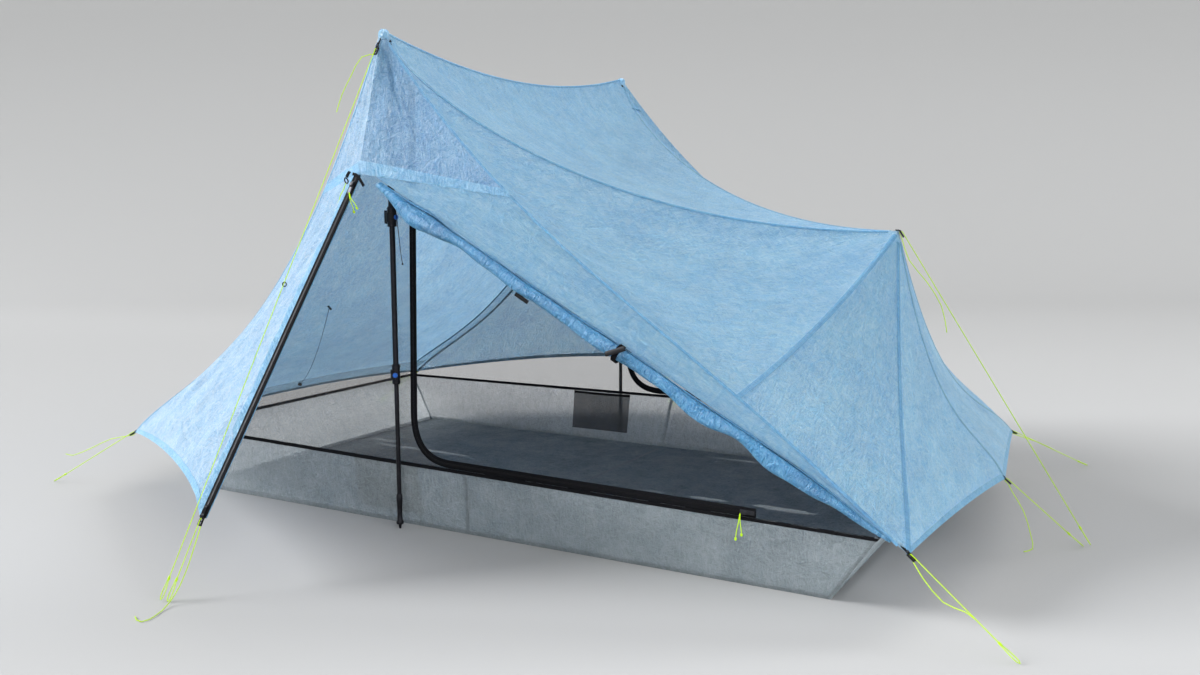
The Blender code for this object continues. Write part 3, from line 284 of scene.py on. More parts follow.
# %% Shader group helpers
def new_group(name, inputs, outputs):
    """An empty shader group with named inputs (name, kind, value) and outputs (name, kind)."""
    group = bpy.data.node_groups.new(name, "ShaderNodeTree")
    for label, kind, value in inputs:
        socket = group.interface.new_socket(label, in_out="INPUT", socket_type="NodeSocket" + kind)
        if value is not None:
            socket.default_value = value
    for label, kind in outputs:
        group.interface.new_socket(label, in_out="OUTPUT", socket_type="NodeSocket" + kind)
    return group, group.nodes.new("NodeGroupInput"), group.nodes.new("NodeGroupOutput")


def node(tree, kind, links=None, values=None, **settings):
    """A node with its settings, its socket values and the outputs that feed it."""
    made = tree.nodes.new(kind)
    for key, value in settings.items():
        setattr(made, key, value)
    for key, value in (values or {}).items():
        made.inputs[key].default_value = value
    for key, output in (links or {}).items():
        tree.links.new(output, made.inputs[key])
    return made


def maths(tree, operation, *values):
    """A Math node's output from numbers and other outputs."""
    made = tree.nodes.new("ShaderNodeMath")
    made.operation = operation
    for socket, value in zip(made.inputs, values):
        if isinstance(value, (int, float)):
            socket.default_value = value
        else:
            tree.links.new(value, socket)
    return made.outputs[0]


def blend(tree, factor, one, two):
    """A colour mixed from two colours or outputs."""
    made = node(tree, "ShaderNodeMix", data_type="RGBA")
    for index, value in ((0, factor), (6, one), (7, two)):
        if isinstance(value, bpy.types.NodeSocket):
            tree.links.new(value, made.inputs[index])
        else:
            made.inputs[index].default_value = value if index == 0 else (*value, 1.0)
    return made.outputs[2]


print("helpers: new_group, node, maths, blend")

# %% [markdown]
# A laminate has straight fibres glued between two films. On an image they would blur close
# up. Noise stretched along five directions stays sharp: each place where it crosses its
# middle value becomes a thin line.

# %% Fibres and clouds of a laminate
def fibre_group():
    """Thin fibres at several angles and the cloudy look between them, on a cloth's UV in metres."""
    tree, start, end = new_group("laminate_fibres",
                                 [("Vector", "Vector", None), ("Fibre Scale", "Float", 260.0),
                                  ("Cloud Scale", "Float", 7.0)],
                                 [("Fibre", "Float"), ("Cloud", "Float"), ("Height", "Float")])
    total = None
    for index, angle in enumerate((8, 67, -52, 97, -21)):
        turned = node(tree, "ShaderNodeMapping", {"Vector": start.outputs["Vector"]},
                      {"Rotation": (0, 0, math.radians(angle)), "Location": (index * 3.7, index, 0)})
        stretched = node(tree, "ShaderNodeVectorMath", {0: turned.outputs[0]}, {1: (1.0, 0.045, 1.0)},
                         operation="MULTIPLY")
        lines = node(tree, "ShaderNodeTexNoise", {"Vector": stretched.outputs[0],
                                                  "Scale": start.outputs["Fibre Scale"]},
                     {"Detail": 1.0, "Roughness": 0.5}, noise_dimensions="2D")
        near = maths(tree, "ABSOLUTE", maths(tree, "SUBTRACT", lines.outputs["Fac"], 0.5))
        thin = maths(tree, "SMOOTH_MAX", maths(tree, "SUBTRACT", 1.0, maths(tree, "MULTIPLY", near, 16.0)),
                     0.0, 0.1)
        total = thin if total is None else maths(tree, "MAXIMUM", total, thin)
    cloud = node(tree, "ShaderNodeTexNoise", {"Vector": start.outputs["Vector"],
                                              "Scale": start.outputs["Cloud Scale"]},
                 {"Detail": 4.0, "Roughness": 0.62}, noise_dimensions="2D")
    clear = node(tree, "ShaderNodeMapRange", {"Value": cloud.outputs["Fac"]},
                 {"From Min": 0.33, "From Max": 0.67})
    tree.links.new(total, end.inputs["Fibre"])
    tree.links.new(clear.outputs[0], end.inputs["Cloud"])
    tree.links.new(maths(tree, "MULTIPLY", total, 0.00012), end.inputs["Height"])
    return tree


groups = {"fibres": fibre_group()}
print("shader groups", sorted(groups))

# %% [markdown]
# Packed in its bag, a laminate takes small sharp creases. Modelled, they would need millions
# of faces, so they are a height for a Bump node: noise folded at its middle value.

# %% Small creases
def crinkle_group():
    """The small creases that a laminate keeps from being stuffed in its bag, as a height."""
    tree, start, end = new_group("laminate_crinkle",
                                 [("Vector", "Vector", None), ("Sheet Vector", "Vector", None),
                                  ("Fine Scale", "Float", 90.0), ("Depth", "Float", 0.0012)],
                                 [("Height", "Float"), ("Crease", "Float")])
    long = node(tree, "ShaderNodeVectorMath", {0: start.outputs["Sheet Vector"]}, {1: (1.0, 0.22, 1.0)},
                operation="MULTIPLY")
    ripples = node(tree, "ShaderNodeTexNoise", {"Vector": long.outputs[0],
                                                "Scale": start.outputs["Fine Scale"]},
                   {"Detail": 2.5, "Roughness": 0.6, "Distortion": 0.9}, noise_dimensions="2D")
    ridge = maths(tree, "ABSOLUTE", maths(tree, "SUBTRACT", ripples.outputs["Fac"], 0.5))
    heights = [maths(tree, "MULTIPLY", ridge, 0.9)]
    for scale, weight in ((1.0, 0.35), (0.28, 1.0)):
        sized = maths(tree, "MULTIPLY", start.outputs["Fine Scale"], scale)
        cells = node(tree, "ShaderNodeTexNoise", {"Vector": start.outputs["Vector"], "Scale": sized},
                     {"Detail": 3.0, "Roughness": 0.55, "Distortion": 1.4}, noise_dimensions="3D")
        fold = maths(tree, "ABSOLUTE", maths(tree, "SUBTRACT", cells.outputs["Fac"], 0.5))
        heights.append(maths(tree, "MULTIPLY", fold, weight))
    total = maths(tree, "ADD", maths(tree, "ADD", heights[0], heights[1]), heights[2])
    tree.links.new(maths(tree, "MULTIPLY", total, start.outputs["Depth"]), end.inputs["Height"])
    sharp = node(tree, "ShaderNodeMapRange", {"Value": total}, {"From Min": 0.03, "From Max": 0.17,
                                                                "To Min": 1.0, "To Max": 0.0})
    tree.links.new(sharp.outputs[0], end.inputs["Crease"])
    return tree


groups["crinkle"] = crinkle_group()
print("shader groups", sorted(groups))

# %% [markdown]
# Nets, woven threads and dust turn up in several materials. Each is a mask with a scale of
# its own, so that one group serves a fine net and a close one.

# %% Net, weave and dust
def netting_group():
    """Threads of a fine hexagonal net, as a mask that is 1 on the thread."""
    tree, start, end = new_group("fine_netting", [("Vector", "Vector", None), ("Scale", "Float", 420.0),
                                                  ("Thread", "Float", 0.18)], [("Mask", "Float")])
    cells = node(tree, "ShaderNodeTexVoronoi", {"Vector": start.outputs["Vector"],
                                                "Scale": start.outputs["Scale"]}, {"Randomness": 0.25},
                 feature="DISTANCE_TO_EDGE", voronoi_dimensions="2D")
    mask = node(tree, "ShaderNodeMapRange", {"Value": cells.outputs["Distance"],
                                             "From Max": start.outputs["Thread"]},
                {"From Min": 0.0, "To Min": 1.0, "To Max": 0.0})
    tree.links.new(mask.outputs[0], end.inputs["Mask"])
    return tree


def weave_group():
    """The over and under of a woven tape or cord, as a height and a mask."""
    tree, start, end = new_group("woven_threads", [("Vector", "Vector", None), ("Scale", "Float", 900.0),
                                                   ("Depth", "Float", 0.0003)],
                                 [("Height", "Float"), ("Mask", "Float")])
    waves = []
    for direction in ("X", "Y"):
        wave = node(tree, "ShaderNodeTexWave", {"Vector": start.outputs["Vector"],
                                                "Scale": start.outputs["Scale"]},
                    {"Distortion": 0.6, "Detail": 1.0}, bands_direction=direction)
        waves.append(wave.outputs["Fac"])
    mask = maths(tree, "MULTIPLY", *waves)
    tree.links.new(mask, end.inputs["Mask"])
    tree.links.new(maths(tree, "MULTIPLY", mask, start.outputs["Depth"]), end.inputs["Height"])
    return tree


def dust_group():
    """Patches of dust and scuffs, as a mask."""
    tree, start, end = new_group("dust_and_scuffs", [("Vector", "Vector", None), ("Scale", "Float", 30.0),
                                                     ("Amount", "Float", 0.5)], [("Mask", "Float")])
    patches = node(tree, "ShaderNodeTexNoise", {"Vector": start.outputs["Vector"],
                                                "Scale": start.outputs["Scale"]},
                   {"Detail": 6.0, "Roughness": 0.7})
    clear = node(tree, "ShaderNodeMapRange", {"Value": patches.outputs["Fac"]},
                 {"From Min": 0.48, "From Max": 0.72})
    tree.links.new(maths(tree, "MULTIPLY", clear.outputs[0], start.outputs["Amount"]), end.inputs["Mask"])
    return tree


groups.update(netting=netting_group(), weave=weave_group(), dust=dust_group())
print("shader groups", sorted(groups))

# %% [markdown]
# Each material holds its own Principled shader and places the groups it needs. Cloth reads
# its own UV map, which is laid out in metres, so a fibre is as long on a small panel as on
# a large one. Alpha carries the see-through look: the laminate lets a little through, and
# the netting lets most of it through.

# %% Materials
materials = {}


def new_material(name, roughness, metallic=0.0, **shader_values):
    """A material with its Principled shader and the two kinds of coordinates."""
    material = bpy.data.materials.new(name)
    material.use_nodes = True
    tree = material.node_tree
    shader = tree.nodes["Principled BSDF"]
    shader.inputs["Roughness"].default_value = roughness
    shader.inputs["Metallic"].default_value = metallic
    for key, value in shader_values.items():
        shader.inputs[key.replace("_", " ")].default_value = value
    places = tree.nodes.new("ShaderNodeTexCoord")
    materials[name] = material
    return tree, shader, places.outputs["UV"], places.outputs["Object"]


def use(tree, group, links, values=None):
    """A shader group placed in a material."""
    return node(tree, "ShaderNodeGroup", links, values, node_tree=groups[group]).outputs


def bump(tree, shader, height):
    """A Bump node from a height in metres to the shader's normal."""
    made = node(tree, "ShaderNodeBump", {"Height": height}, {"Strength": 1.0, "Distance": 1.0})
    tree.links.new(made.outputs[0], shader.inputs["Normal"])


def level(tree, value, low, high):
    """A value from 0 to 1 spread from low to high."""
    made = node(tree, "ShaderNodeMapRange", {"Value": value}, {"To Min": low, "To Max": high})
    return made.outputs[0]


print("helpers: new_material, use, bump, level")

# %% [markdown]
# The canopy, the tapes and the floor are laminates of different weight. A paler copy of the
# canopy cloth is painted highlight on the sunlit front panels, and a darker copy is painted
# shade on the beaks' foot sides. Clear plastic would look like glass. Subsurface scattering
# spreads light as thin cloth does, and Alpha lets some of what lies behind show.

# %% Laminates
def laminate(name, deep, pale, streak, alpha, depth, roughness=0.42, through=0.0055):
    """A laminate cloth from its deep and pale clouds, its fibres' colour and its alpha range.

    Light spreads through it over a distance about as long as the cloth is thick.
    """
    tree, shader, uv, solid = new_material(name, roughness, Subsurface_Weight=1.0, Subsurface_Scale=through,
                                           Subsurface_Radius=(1.0, 1.0, 1.0))
    fibres = use(tree, "fibres", {"Vector": uv})
    crinkle = use(tree, "crinkle", {"Vector": solid, "Sheet Vector": uv}, {"Depth": depth})
    colour = blend(tree, fibres["Cloud"], deep, pale)
    colour = blend(tree, level(tree, fibres["Fibre"], 0.0, 0.30), colour, streak)
    colour = blend(tree, level(tree, crinkle["Crease"], 0.0, 0.30), colour, streak)
    tree.links.new(colour, shader.inputs["Base Color"])
    tree.links.new(level(tree, fibres["Fibre"], roughness + 0.08, roughness - 0.06),
                   shader.inputs["Roughness"])
    dense = maths(tree, "ADD", level(tree, fibres["Cloud"], 0.0, 0.4), level(tree, fibres["Fibre"], 0.0, 0.6))
    tree.links.new(level(tree, dense, *alpha), shader.inputs["Alpha"])
    bump(tree, shader, maths(tree, "ADD", crinkle["Height"], fibres["Height"]))
    return materials[name]


CANOPY_LAMINATES = {
    "canopy_laminate": ((0.135, 0.385, 0.86), (0.163, 0.435, 0.92), (0.54, 0.77, 1.0), (0.72, 0.90), 0.0300),
    # A paler copy of the canopy cloth: painted highlight on the sunlit front beak and front door.
    "door_laminate": ((0.175, 0.385, 0.80), (0.205, 0.43, 0.86), (0.70, 0.83, 1.0), (0.74, 0.91), 0.0300),
    # A darker copy of the canopy cloth: painted shade on the beaks' foot sides.
    "beak_laminate": ((0.09, 0.27, 0.55), (0.12, 0.32, 0.61), (0.40, 0.60, 0.82), (0.52, 0.76), 0.0300),
    "seam_tape_laminate": ((0.03, 0.17, 0.36), (0.06, 0.23, 0.43), (0.20, 0.42, 0.60), (0.90, 0.99), 0.0030),
    "hem_laminate": ((0.065, 0.25, 0.48), (0.10, 0.31, 0.55), (0.32, 0.54, 0.76), (0.85, 0.97), 0.0090),
    "roll_laminate": ((0.014, 0.125, 0.27), (0.030, 0.195, 0.38), (0.20, 0.44, 0.64), (0.97, 1.0), 0.0240),
}
for name, looks in CANOPY_LAMINATES.items():
    laminate(name, *looks)
laminate("tub_wall_laminate", (0.325, 0.40, 0.415), (0.38, 0.455, 0.465), (0.72, 0.79, 0.79), (0.30, 0.46),
         0.0120, 0.5, 0.009)
laminate("tub_floor_laminate", (0.20, 0.27, 0.285), (0.27, 0.335, 0.35), (0.56, 0.62, 0.62), (0.44, 0.70),
         0.0100, 0.5, 0.009)
laminate("tub_tape_laminate", (0.10, 0.125, 0.13), (0.15, 0.175, 0.18), (0.30, 0.33, 0.34), (0.90, 1.0),
         0.0020, 0.5)


print(len(materials), "laminates")

# %% [markdown]
# Netting is mostly holes. A whole wall of modelled holes would be too heavy, so a net is a
# thin sheet whose Alpha is high on a thread and low in a hole.

# %% Netting
def net_material(name, colour, alpha):
    """Fine netting from its thread's colour and its alpha range between hole and thread."""
    tree, shader, uv, solid = new_material(name, 0.75)
    mask = use(tree, "netting", {"Vector": uv})["Mask"]
    shade = use(tree, "dust", {"Vector": solid}, {"Scale": 6.0, "Amount": 0.6})["Mask"]
    tree.links.new(blend(tree, shade, colour, [c * 1.6 for c in colour]), shader.inputs["Base Color"])
    tree.links.new(level(tree, mask, *alpha), shader.inputs["Alpha"])
    bump(tree, shader, maths(tree, "MULTIPLY", mask, 0.0002))


net_material("insect_netting", (0.085, 0.078, 0.072), (0.11, 0.36))
net_material("pocket_netting", (0.028, 0.029, 0.032), (0.42, 0.74))
net_material("rolled_netting", (0.040, 0.038, 0.037), (0.85, 1.0))
print(len(materials), "materials so far")

# %% [markdown]
# Webbing, zip tapes and cords are woven. Two crossed waves give the height of their threads,
# and the worn threads take a paler colour.

# %% Webbing and cord
def woven_material(name, colour, wear, scale, depth, roughness=0.75):
    """A woven tape or cord from its colour and the paler colour of its worn threads."""
    tree, shader, uv, solid = new_material(name, roughness, Specular_IOR_Level=0.07)
    threads = use(tree, "weave", {"Vector": uv}, {"Scale": scale, "Depth": depth})
    dust = use(tree, "dust", {"Vector": solid}, {"Scale": 40.0, "Amount": 0.35})["Mask"]
    worn = blend(tree, level(tree, threads["Mask"], 0.0, 0.5), colour, wear)
    tree.links.new(blend(tree, dust, worn, wear), shader.inputs["Base Color"])
    bump(tree, shader, threads["Height"])


woven_material("zip_tape_weave", (0.004, 0.004, 0.005), (0.011, 0.012, 0.014), 330.0, 0.0004)
woven_material("webbing_weave", (0.004, 0.004, 0.005), (0.014, 0.015, 0.017), 260.0, 0.0005)
woven_material("cord_braid", (0.50, 0.80, 0.01), (0.66, 0.90, 0.06), 420.0, 0.0004, 0.6)
woven_material("cord_thread", (0.06, 0.062, 0.066), (0.12, 0.12, 0.125), 420.0, 0.0001)
woven_material("thin_black_cord", (0.010, 0.010, 0.011), (0.05, 0.05, 0.055), 420.0, 0.0003)
print(len(materials), "materials so far")

# %% [markdown]
# Poles, locks and sliders are smooth but handled. Dust and scuffs change colour and roughness
# in patches, so a dark part doesn't look like a flat hole.

# %% Moulded and metal parts
def hard_material(name, colour, scuffed, roughness, metallic=0.0, grain=600.0, depth=0.00003, **more):
    """A moulded or metal part from its colour, the colour of its scuffs and its grain."""
    tree, shader, uv, solid = new_material(name, roughness, metallic, Specular_IOR_Level=0.16, **more)
    dust = use(tree, "dust", {"Vector": solid}, {"Scale": 55.0, "Amount": 0.5})["Mask"]
    tree.links.new(blend(tree, dust, colour, scuffed), shader.inputs["Base Color"])
    tree.links.new(level(tree, dust, roughness, min(roughness + 0.25, 1.0)), shader.inputs["Roughness"])
    fine = node(tree, "ShaderNodeTexNoise", {"Vector": solid}, {"Scale": grain, "Detail": 3.0})
    bump(tree, shader, maths(tree, "MULTIPLY", fine.outputs["Fac"], depth))


hard_material("pole_anodised", (0.010, 0.010, 0.012), (0.030, 0.030, 0.034), 0.34, 0.5)
hard_material("lock_plastic", (0.005, 0.005, 0.006), (0.016, 0.016, 0.018), 0.5)
hard_material("dial_plastic", (0.015, 0.10, 0.42), (0.05, 0.18, 0.5), 0.35)
hard_material("grip_foam", (0.007, 0.007, 0.008), (0.016, 0.016, 0.018), 0.92, grain=260.0, depth=0.0006)
hard_material("zip_coil", (0.005, 0.005, 0.006), (0.014, 0.014, 0.016), 0.42)
hard_material("slider_metal", (0.030, 0.031, 0.034), (0.10, 0.10, 0.11), 0.35, 0.8)
print(len(materials), "materials")

# %% [markdown]
# Every piece ends as a mesh object that rides on a body of the frame, and some stand for
# nodes of the frame. Small helpers keep these steps the same for each piece.

# %% Mesh objects that ride
def link(thing):
    """Put a new object into the scene."""
    bpy.context.scene.collection.objects.link(thing)
    return thing


def mesh_object(name, bm, material, angle=40):
    """A bmesh finished as an object: doubles merged, faces outward, sharp edges kept."""
    bmesh.ops.remove_doubles(bm, verts=bm.verts, dist=TINY)
    bmesh.ops.recalc_face_normals(bm, faces=bm.faces)
    if bm.calc_volume(signed=True) < 0:
        bmesh.ops.reverse_faces(bm, faces=bm.faces)
    mesh = bpy.data.meshes.new(name)
    bm.to_mesh(mesh)
    bm.free()
    mesh.shade_smooth()
    mesh.set_sharp_from_angle(angle=math.radians(angle))
    mesh.materials.append(materials[material])
    return link(bpy.data.objects.new(name, mesh))


def ride_as(piece, body, slot, *nodes):
    """Ride a piece on a body and let it stand for some CAD nodes."""
    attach(piece, body)
    if nodes:
        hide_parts(*nodes)
    return piece


print("helpers: link, mesh_object, ride_as")

# %% [markdown]
# Cloth that is pulled tight is never smooth. Fine folds run out of every corner that takes
# a guyline's pull, and the middle of a panel swells and sinks a little. Both are added
# along the cloth's normal, and both fade out at the seams, so neighbours still meet.

# %% Folds and swells
TENT_MIDDLE = Vector((0, 0, 0.3))


def grid_normals(rows):
    """A normal for each point of a grid, all of them facing away from the tent's middle."""
    normals = []
    for i, row in enumerate(rows):
        line = []
        for j, point in enumerate(row):
            a, b = row[max(j - 1, 0)], row[min(j + 1, len(row) - 1)]
            c, d = rows[max(i - 1, 0)][j], rows[min(i + 1, len(rows) - 1)][j]
            if (b - a).length < TINY:
                a, b = rows[1][max(j - 1, 0)], rows[1][min(j + 1, len(row) - 1)]
            if (d - c).length < TINY:
                d = rows[min(i + 2, len(rows) - 1)][j]
            line.append((b - a).cross(d - c).normalized())
        normals.append(line)
    total = sum(n.dot(p - TENT_MIDDLE) for row, line in zip(rows, normals) for p, n in zip(row, line))
    turn = 1 if total > 0 else -1
    return [[n * turn for n in line] for line in normals]


def pull_folds(point, corners, reach):
    """The height of the fine folds that run out of the pulled corners."""
    height = 0.0
    for corner, strength in corners:
        away = point - corner
        distance = away.length
        if distance < 1e-5:
            continue
        ray = away / distance
        wave = noise.noise(ray * 13) + 0.7 * noise.noise(ray * 29 + Vector((5, 0, 0)))
        height += strength * wave * min(distance / 0.12, 1.0) * math.exp(-distance / reach)
    return height


def settled(rows, corners=(), swell=0.0025, reach=0.28, fade=0.05, fold=0.0045, ripple=0.0014):
    """A grid with its folds, swells and long ripples added along its normals."""
    normals = grid_normals(rows)
    last_i, last_j = len(rows) - 1, len(rows[0]) - 1
    spots = [(corner, strength * fold) for corner, strength in corners]
    result = []
    for i, row in enumerate(rows):
        width = max(run_length(row), TINY)
        line = []
        for j, point in enumerate(row):
            side = min(j, last_j - j) / last_j * width
            ends = min((point - rows[last_i][j]).length, (point - rows[0][j]).length)
            calm = min(side / fade, 1.0) * min(ends / fade, 1.0)
            calm = calm * calm * (3 - 2 * calm)
            wave = noise.noise(point * 3.1) + 0.5 * noise.noise(point * 8.3) + 0.22 * noise.noise(point * 23)
            long = noise.noise(Vector((i * 0.05, j / last_j * width * 24, 1.7)))
            height = swell * wave + ripple * long + pull_folds(point, spots, reach)
            line.append(point + normals[i][j] * calm * height)
        result.append(line)
    return result


print("tent's middle", [round(v, 2) for v in TENT_MIDDLE])

# %% [markdown]
# Cloth has two faces and a thin edge. A Solidify modifier could add them, but building both
# layers and the rim gives a closed shell and a UV map in metres at once.

# %% A closed sheet of cloth
def cloth_object(name, rows, thickness, material, outward=None):
    """A closed sheet of cloth whose outer face is the grid, with a UV map in metres."""
    normals = grid_normals(rows) if outward is None else outward
    bm = bmesh.new()
    uv_layer = bm.loops.layers.uv.new("cloth")
    down = [0.0]
    middle_column = len(rows[0]) // 2
    for one, two in zip(rows, rows[1:]):
        down.append(down[-1] + (two[middle_column] - one[middle_column]).length)
    flat = {}
    layers = []
    for depth in (0.0, thickness):
        layer = []
        for i, row in enumerate(rows):
            width = run_length(row)
            line = []
            for j, point in enumerate(row):
                vert = bm.verts.new(point - normals[i][j] * depth)
                flat[vert] = ((j / (len(row) - 1) - 0.5) * width, down[i])
                line.append(vert)
            layer.append(line)
        layers.append(layer)
    outer, inner = layers
    faces = []
    for i in range(len(rows) - 1):
        for j in range(len(rows[0]) - 1):
            ring = [outer[i][j], outer[i + 1][j], outer[i + 1][j + 1], outer[i][j + 1]]
            faces.append(bm.faces.new(ring))
            faces.append(bm.faces.new([inner[i][j], inner[i][j + 1], inner[i + 1][j + 1], inner[i + 1][j]]))
    rim = [(i, 0) for i in range(len(rows))] + [(len(rows) - 1, j) for j in range(1, len(rows[0]))]
    rim += [(i, len(rows[0]) - 1) for i in range(len(rows) - 2, -1, -1)]
    rim += [(0, j) for j in range(len(rows[0]) - 2, 0, -1)]
    for (a, b), (c, d) in zip(rim, rim[1:] + rim[:1]):
        faces.append(bm.faces.new([outer[a][b], inner[a][b], inner[c][d], outer[c][d]]))
    for face in faces:
        for loop in face.loops:
            loop[uv_layer].uv = flat[loop.vert]
    return mesh_object(name, bm, material, angle=50)


def grid_area(rows):
    """The area of a grid."""
    total = 0.0
    for one, two in zip(rows, rows[1:]):
        for j in range(len(one) - 1):
            total += (two[j] - one[j]).cross(one[j + 1] - one[j]).length / 2
            total += (two[j] - two[j + 1]).cross(one[j + 1] - two[j + 1]).length / 2
    return total


def declare_sheet(rows):
    """The area of a sheet's grid; its laid-out width and length are worked out too, but not kept."""
    area = grid_area(rows)
    width = max(run_length(row) for row in rows)
    length = max(run_length([row[j] for row in rows]) for j in range(0, len(rows[0]), 4))
    length = max(length, area / width * 1.01)
    width = min(width, 2 * area / length)
    return area


print("helpers: cloth_object, grid_area, declare_sheet")

# %% [markdown]
# The panels are bonded edge to edge with tape. Each border of each panel gets its own half
# of the tape, so two halves meet on the seam's line and keep one width from peak to hem.

# %% Tapes along a panel's borders
def border_run(rows, border):
    """A border's points and the points one step inside it."""
    if border in ("left", "right"):
        edge, inner = (0, 1) if border == "left" else (-1, -2)
        pairs = [(row[edge], row[inner]) for row in rows]
    else:
        edge, inner = (0, 1) if border == "top" else (-1, -2)
        pairs = list(zip(rows[edge], rows[inner]))
    return [(a, b) for a, b in pairs if (a - b).length > TINY]


def tape_grid(rows, border, width, lift):
    """Points of a strip that lies on a panel along one of its borders."""
    pairs = border_run(rows, border)
    points = [a for a, _ in pairs]
    outer, inner, normals = [], [], []
    for k, (point, inside) in enumerate(pairs):
        along = direction_at(points, k)
        inward = inside - point
        inward = (inward - along * inward.dot(along)).normalized()
        normal = along.cross(inward)
        if normal.dot(point - TENT_MIDDLE) < 0:
            normal = -normal
        outer.append(point + normal * lift)
        inner.append(point + inward * width + normal * lift)
        normals.append(normal)
    return [outer, inner], [normals, normals]


TAPE_LIFT, TAPE_THICKNESS = 0.0009, 0.0008


def tape(name, rows, border, width, lift, material, thickness=TAPE_THICKNESS):
    """A strip of tape on a panel along one of its borders."""
    strip, normals = tape_grid(rows, border, width, lift)
    return cloth_object(name, strip, thickness, material, normals)


def walk(points, distance):
    """The place a distance along a run of points."""
    for one, two in zip(points, points[1:]):
        step = (two - one).length
        if step >= distance:
            return one.lerp(two, distance / step)
        distance -= step
    return points[-1]


def hem(name, rows, border, width):
    """A wide strip that follows a panel's own grid, so it ends at the panel's seams."""
    normals = grid_normals(rows)
    turned, turned_normals = rows, normals
    if border in ("left", "right"):
        turned, turned_normals = [list(line) for line in zip(*rows)], [list(line) for line in zip(*normals)]
    if border in ("base", "right"):
        turned, turned_normals = turned[::-1], turned_normals[::-1]
    strip, strip_normals = [], []
    for share in (0.0, 0.34, 0.67, 1.0):
        line, line_normals = [], []
        for j in range(len(turned[0])):
            run = [row[j] for row in turned]
            point = walk(run, width * share)
            line.append(point + turned_normals[1][j] * TAPE_LIFT)
            line_normals.append(turned_normals[1][j])
        strip.append(line)
        strip_normals.append(line_normals)
    return cloth_object(name, strip, TAPE_THICKNESS, "hem_laminate", strip_normals)


print("tapes stand", TAPE_LIFT, "m off the cloth")

# %% [markdown]
# Now the panels are cut. Each one takes its folds from the corners that pull it, then its
# tapes along its seams and a wider hem along its free edges. The foot side of each beak takes
# a darker copy of the cloth, which is painted shade, and the front beak's other side and the
# front door's left panel take a paler copy, which is painted highlight.

# %% Cut the canopy's panels
def corner_list(side):
    """The places that pull folds into the cloth, with how hard each one pulls."""
    return [(place(PEAK, side), 1.0), (place(FOOT_PEAK, side), 0.7), (place(HEAD_CORNER, side), 1.0),
            (place(FOOT_CORNER, side), 1.1), (place(END_CENTRE, side), 0.7),
            (place(BEAK_TIP, side), 0.8), (place(DOOR_FOOT, side), 1.1)]


TAPED = {"canopy_roof": ("left", "right", "base"), "canopy_head": ("left", "right", "top"), "door": ("left",)}
HEM_WIDTHS = {"canopy_head": {"base": 0.016}, "canopy_end": {"base": 0.016}, "beak": {"base": 0.036},
              "door": {"base": 0.018, "right": 0.030}}
TAPE_WIDTH = 0.0065
RIPPLES = {"door_front_right": 0.0040, "door_front_left": 0.0120}
cut_area = 0.0
for name, rows in panels.items():
    side = BACK if "back" in name else FRONT
    corners = corner_list(side)
    if name in ("canopy_roof", "canopy_head"):
        corners = corner_list(FRONT) + corner_list(BACK)
    rows = settled(rows, corners, fold=0.0080 if name.startswith("beak") else 0.0060,
                   ripple=RIPPLES.get(name, 0.0016))
    rows = [[blunted(point) for point in row] for row in rows]
    kind = next((kind for kind in ("beak", "door", "canopy_end") if name.startswith(kind)), name)
    # The front beak and the front door's left panel take a paler copy of the cloth, which is painted
    # highlight.
    pale = name in ("beak_front", "door_front_left")
    piece = cloth_object(f"{name}_cloth", rows, CLOTH, "door_laminate" if pale else "canopy_laminate")
    # Faces on a beak's foot side take a darker copy of the cloth, which is painted shade.
    if kind == "beak":
        piece.data.materials.append(materials["beak_laminate"])
        for face in piece.data.polygons:
            along = (place(BEAK_TIP, side) - place(PEAK, side)).normalized()
            away = Vector(face.center) - place(PEAK, side)
            face.material_index = int((away - along * away.dot(along)).x > 0)
    ride_as(piece, "tent", "canopy", name)
    strips = []
    for border in TAPED.get(kind, ("left", "right")):
        strips.append(tape(f"{name}_tape_{border}", rows, border, TAPE_WIDTH, TAPE_LIFT,
                           "seam_tape_laminate"))
    for border, width in HEM_WIDTHS.get(kind, {}).items():
        if name != "door_front_right":
            strips.append(hem(f"{name}_hem_{border}", rows, border, width))
    for strip in strips:
        ride_as(strip, "tent", "canopy")
    cut_area += declare_sheet(rows)
print("canopy cloth", round(cut_area, 2), "square metres")

# %% [markdown]
# The floor is a shallow tub: a flat sheet with four walls that lean outward. It is cut from
# a heavier, greyer laminate. A tape runs round the fold at the bottom and another crosses
# the floor near its middle, where two widths of the laminate are joined.

# %% The floor tub
FLOOR_LENGTH, FLOOR_WIDTH, WALL_TOP = 2.11, 1.22, 0.19
WALL_HEAD, WALL_FOOT = (-1.145, 0.60), (1.185, 0.70)
TUB_SEAM_X, FLOOR_SWELL, FLOOR_FADE = 0.045, 0.0035, 0.05
FOLD_TAPE_WIDTH, CORNER_TAPE_WIDTH, CROSS_TAPE_WIDTH = 0.012, 0.008, 0.012


def tub_corners(side):
    """One long wall's corners: head bottom, foot bottom, head top, foot top."""
    return (Vector((-FLOOR_LENGTH / 2, side * FLOOR_WIDTH / 2, 0.0006)),
            Vector((FLOOR_LENGTH / 2, side * FLOOR_WIDTH / 2, 0.0006)),
            Vector((WALL_HEAD[0], side * WALL_HEAD[1], WALL_TOP)),
            Vector((WALL_FOOT[0], side * WALL_FOOT[1], WALL_TOP)))


def wall_top_spot(side, x):
    """The place on a long wall's top edge at a given X."""
    _, _, head, foot = tub_corners(side)
    return head.lerp(foot, (x - head.x) / (foot.x - head.x))


def wall_grid(one, two, one_top, two_top, steps):
    """One wall's grid, from its two bottom corners and its two top corners."""
    return patch(straight(one, one_top, 12), straight(two, two_top, 12),
                 straight(one_top, two_top, steps), straight(one, two, steps))


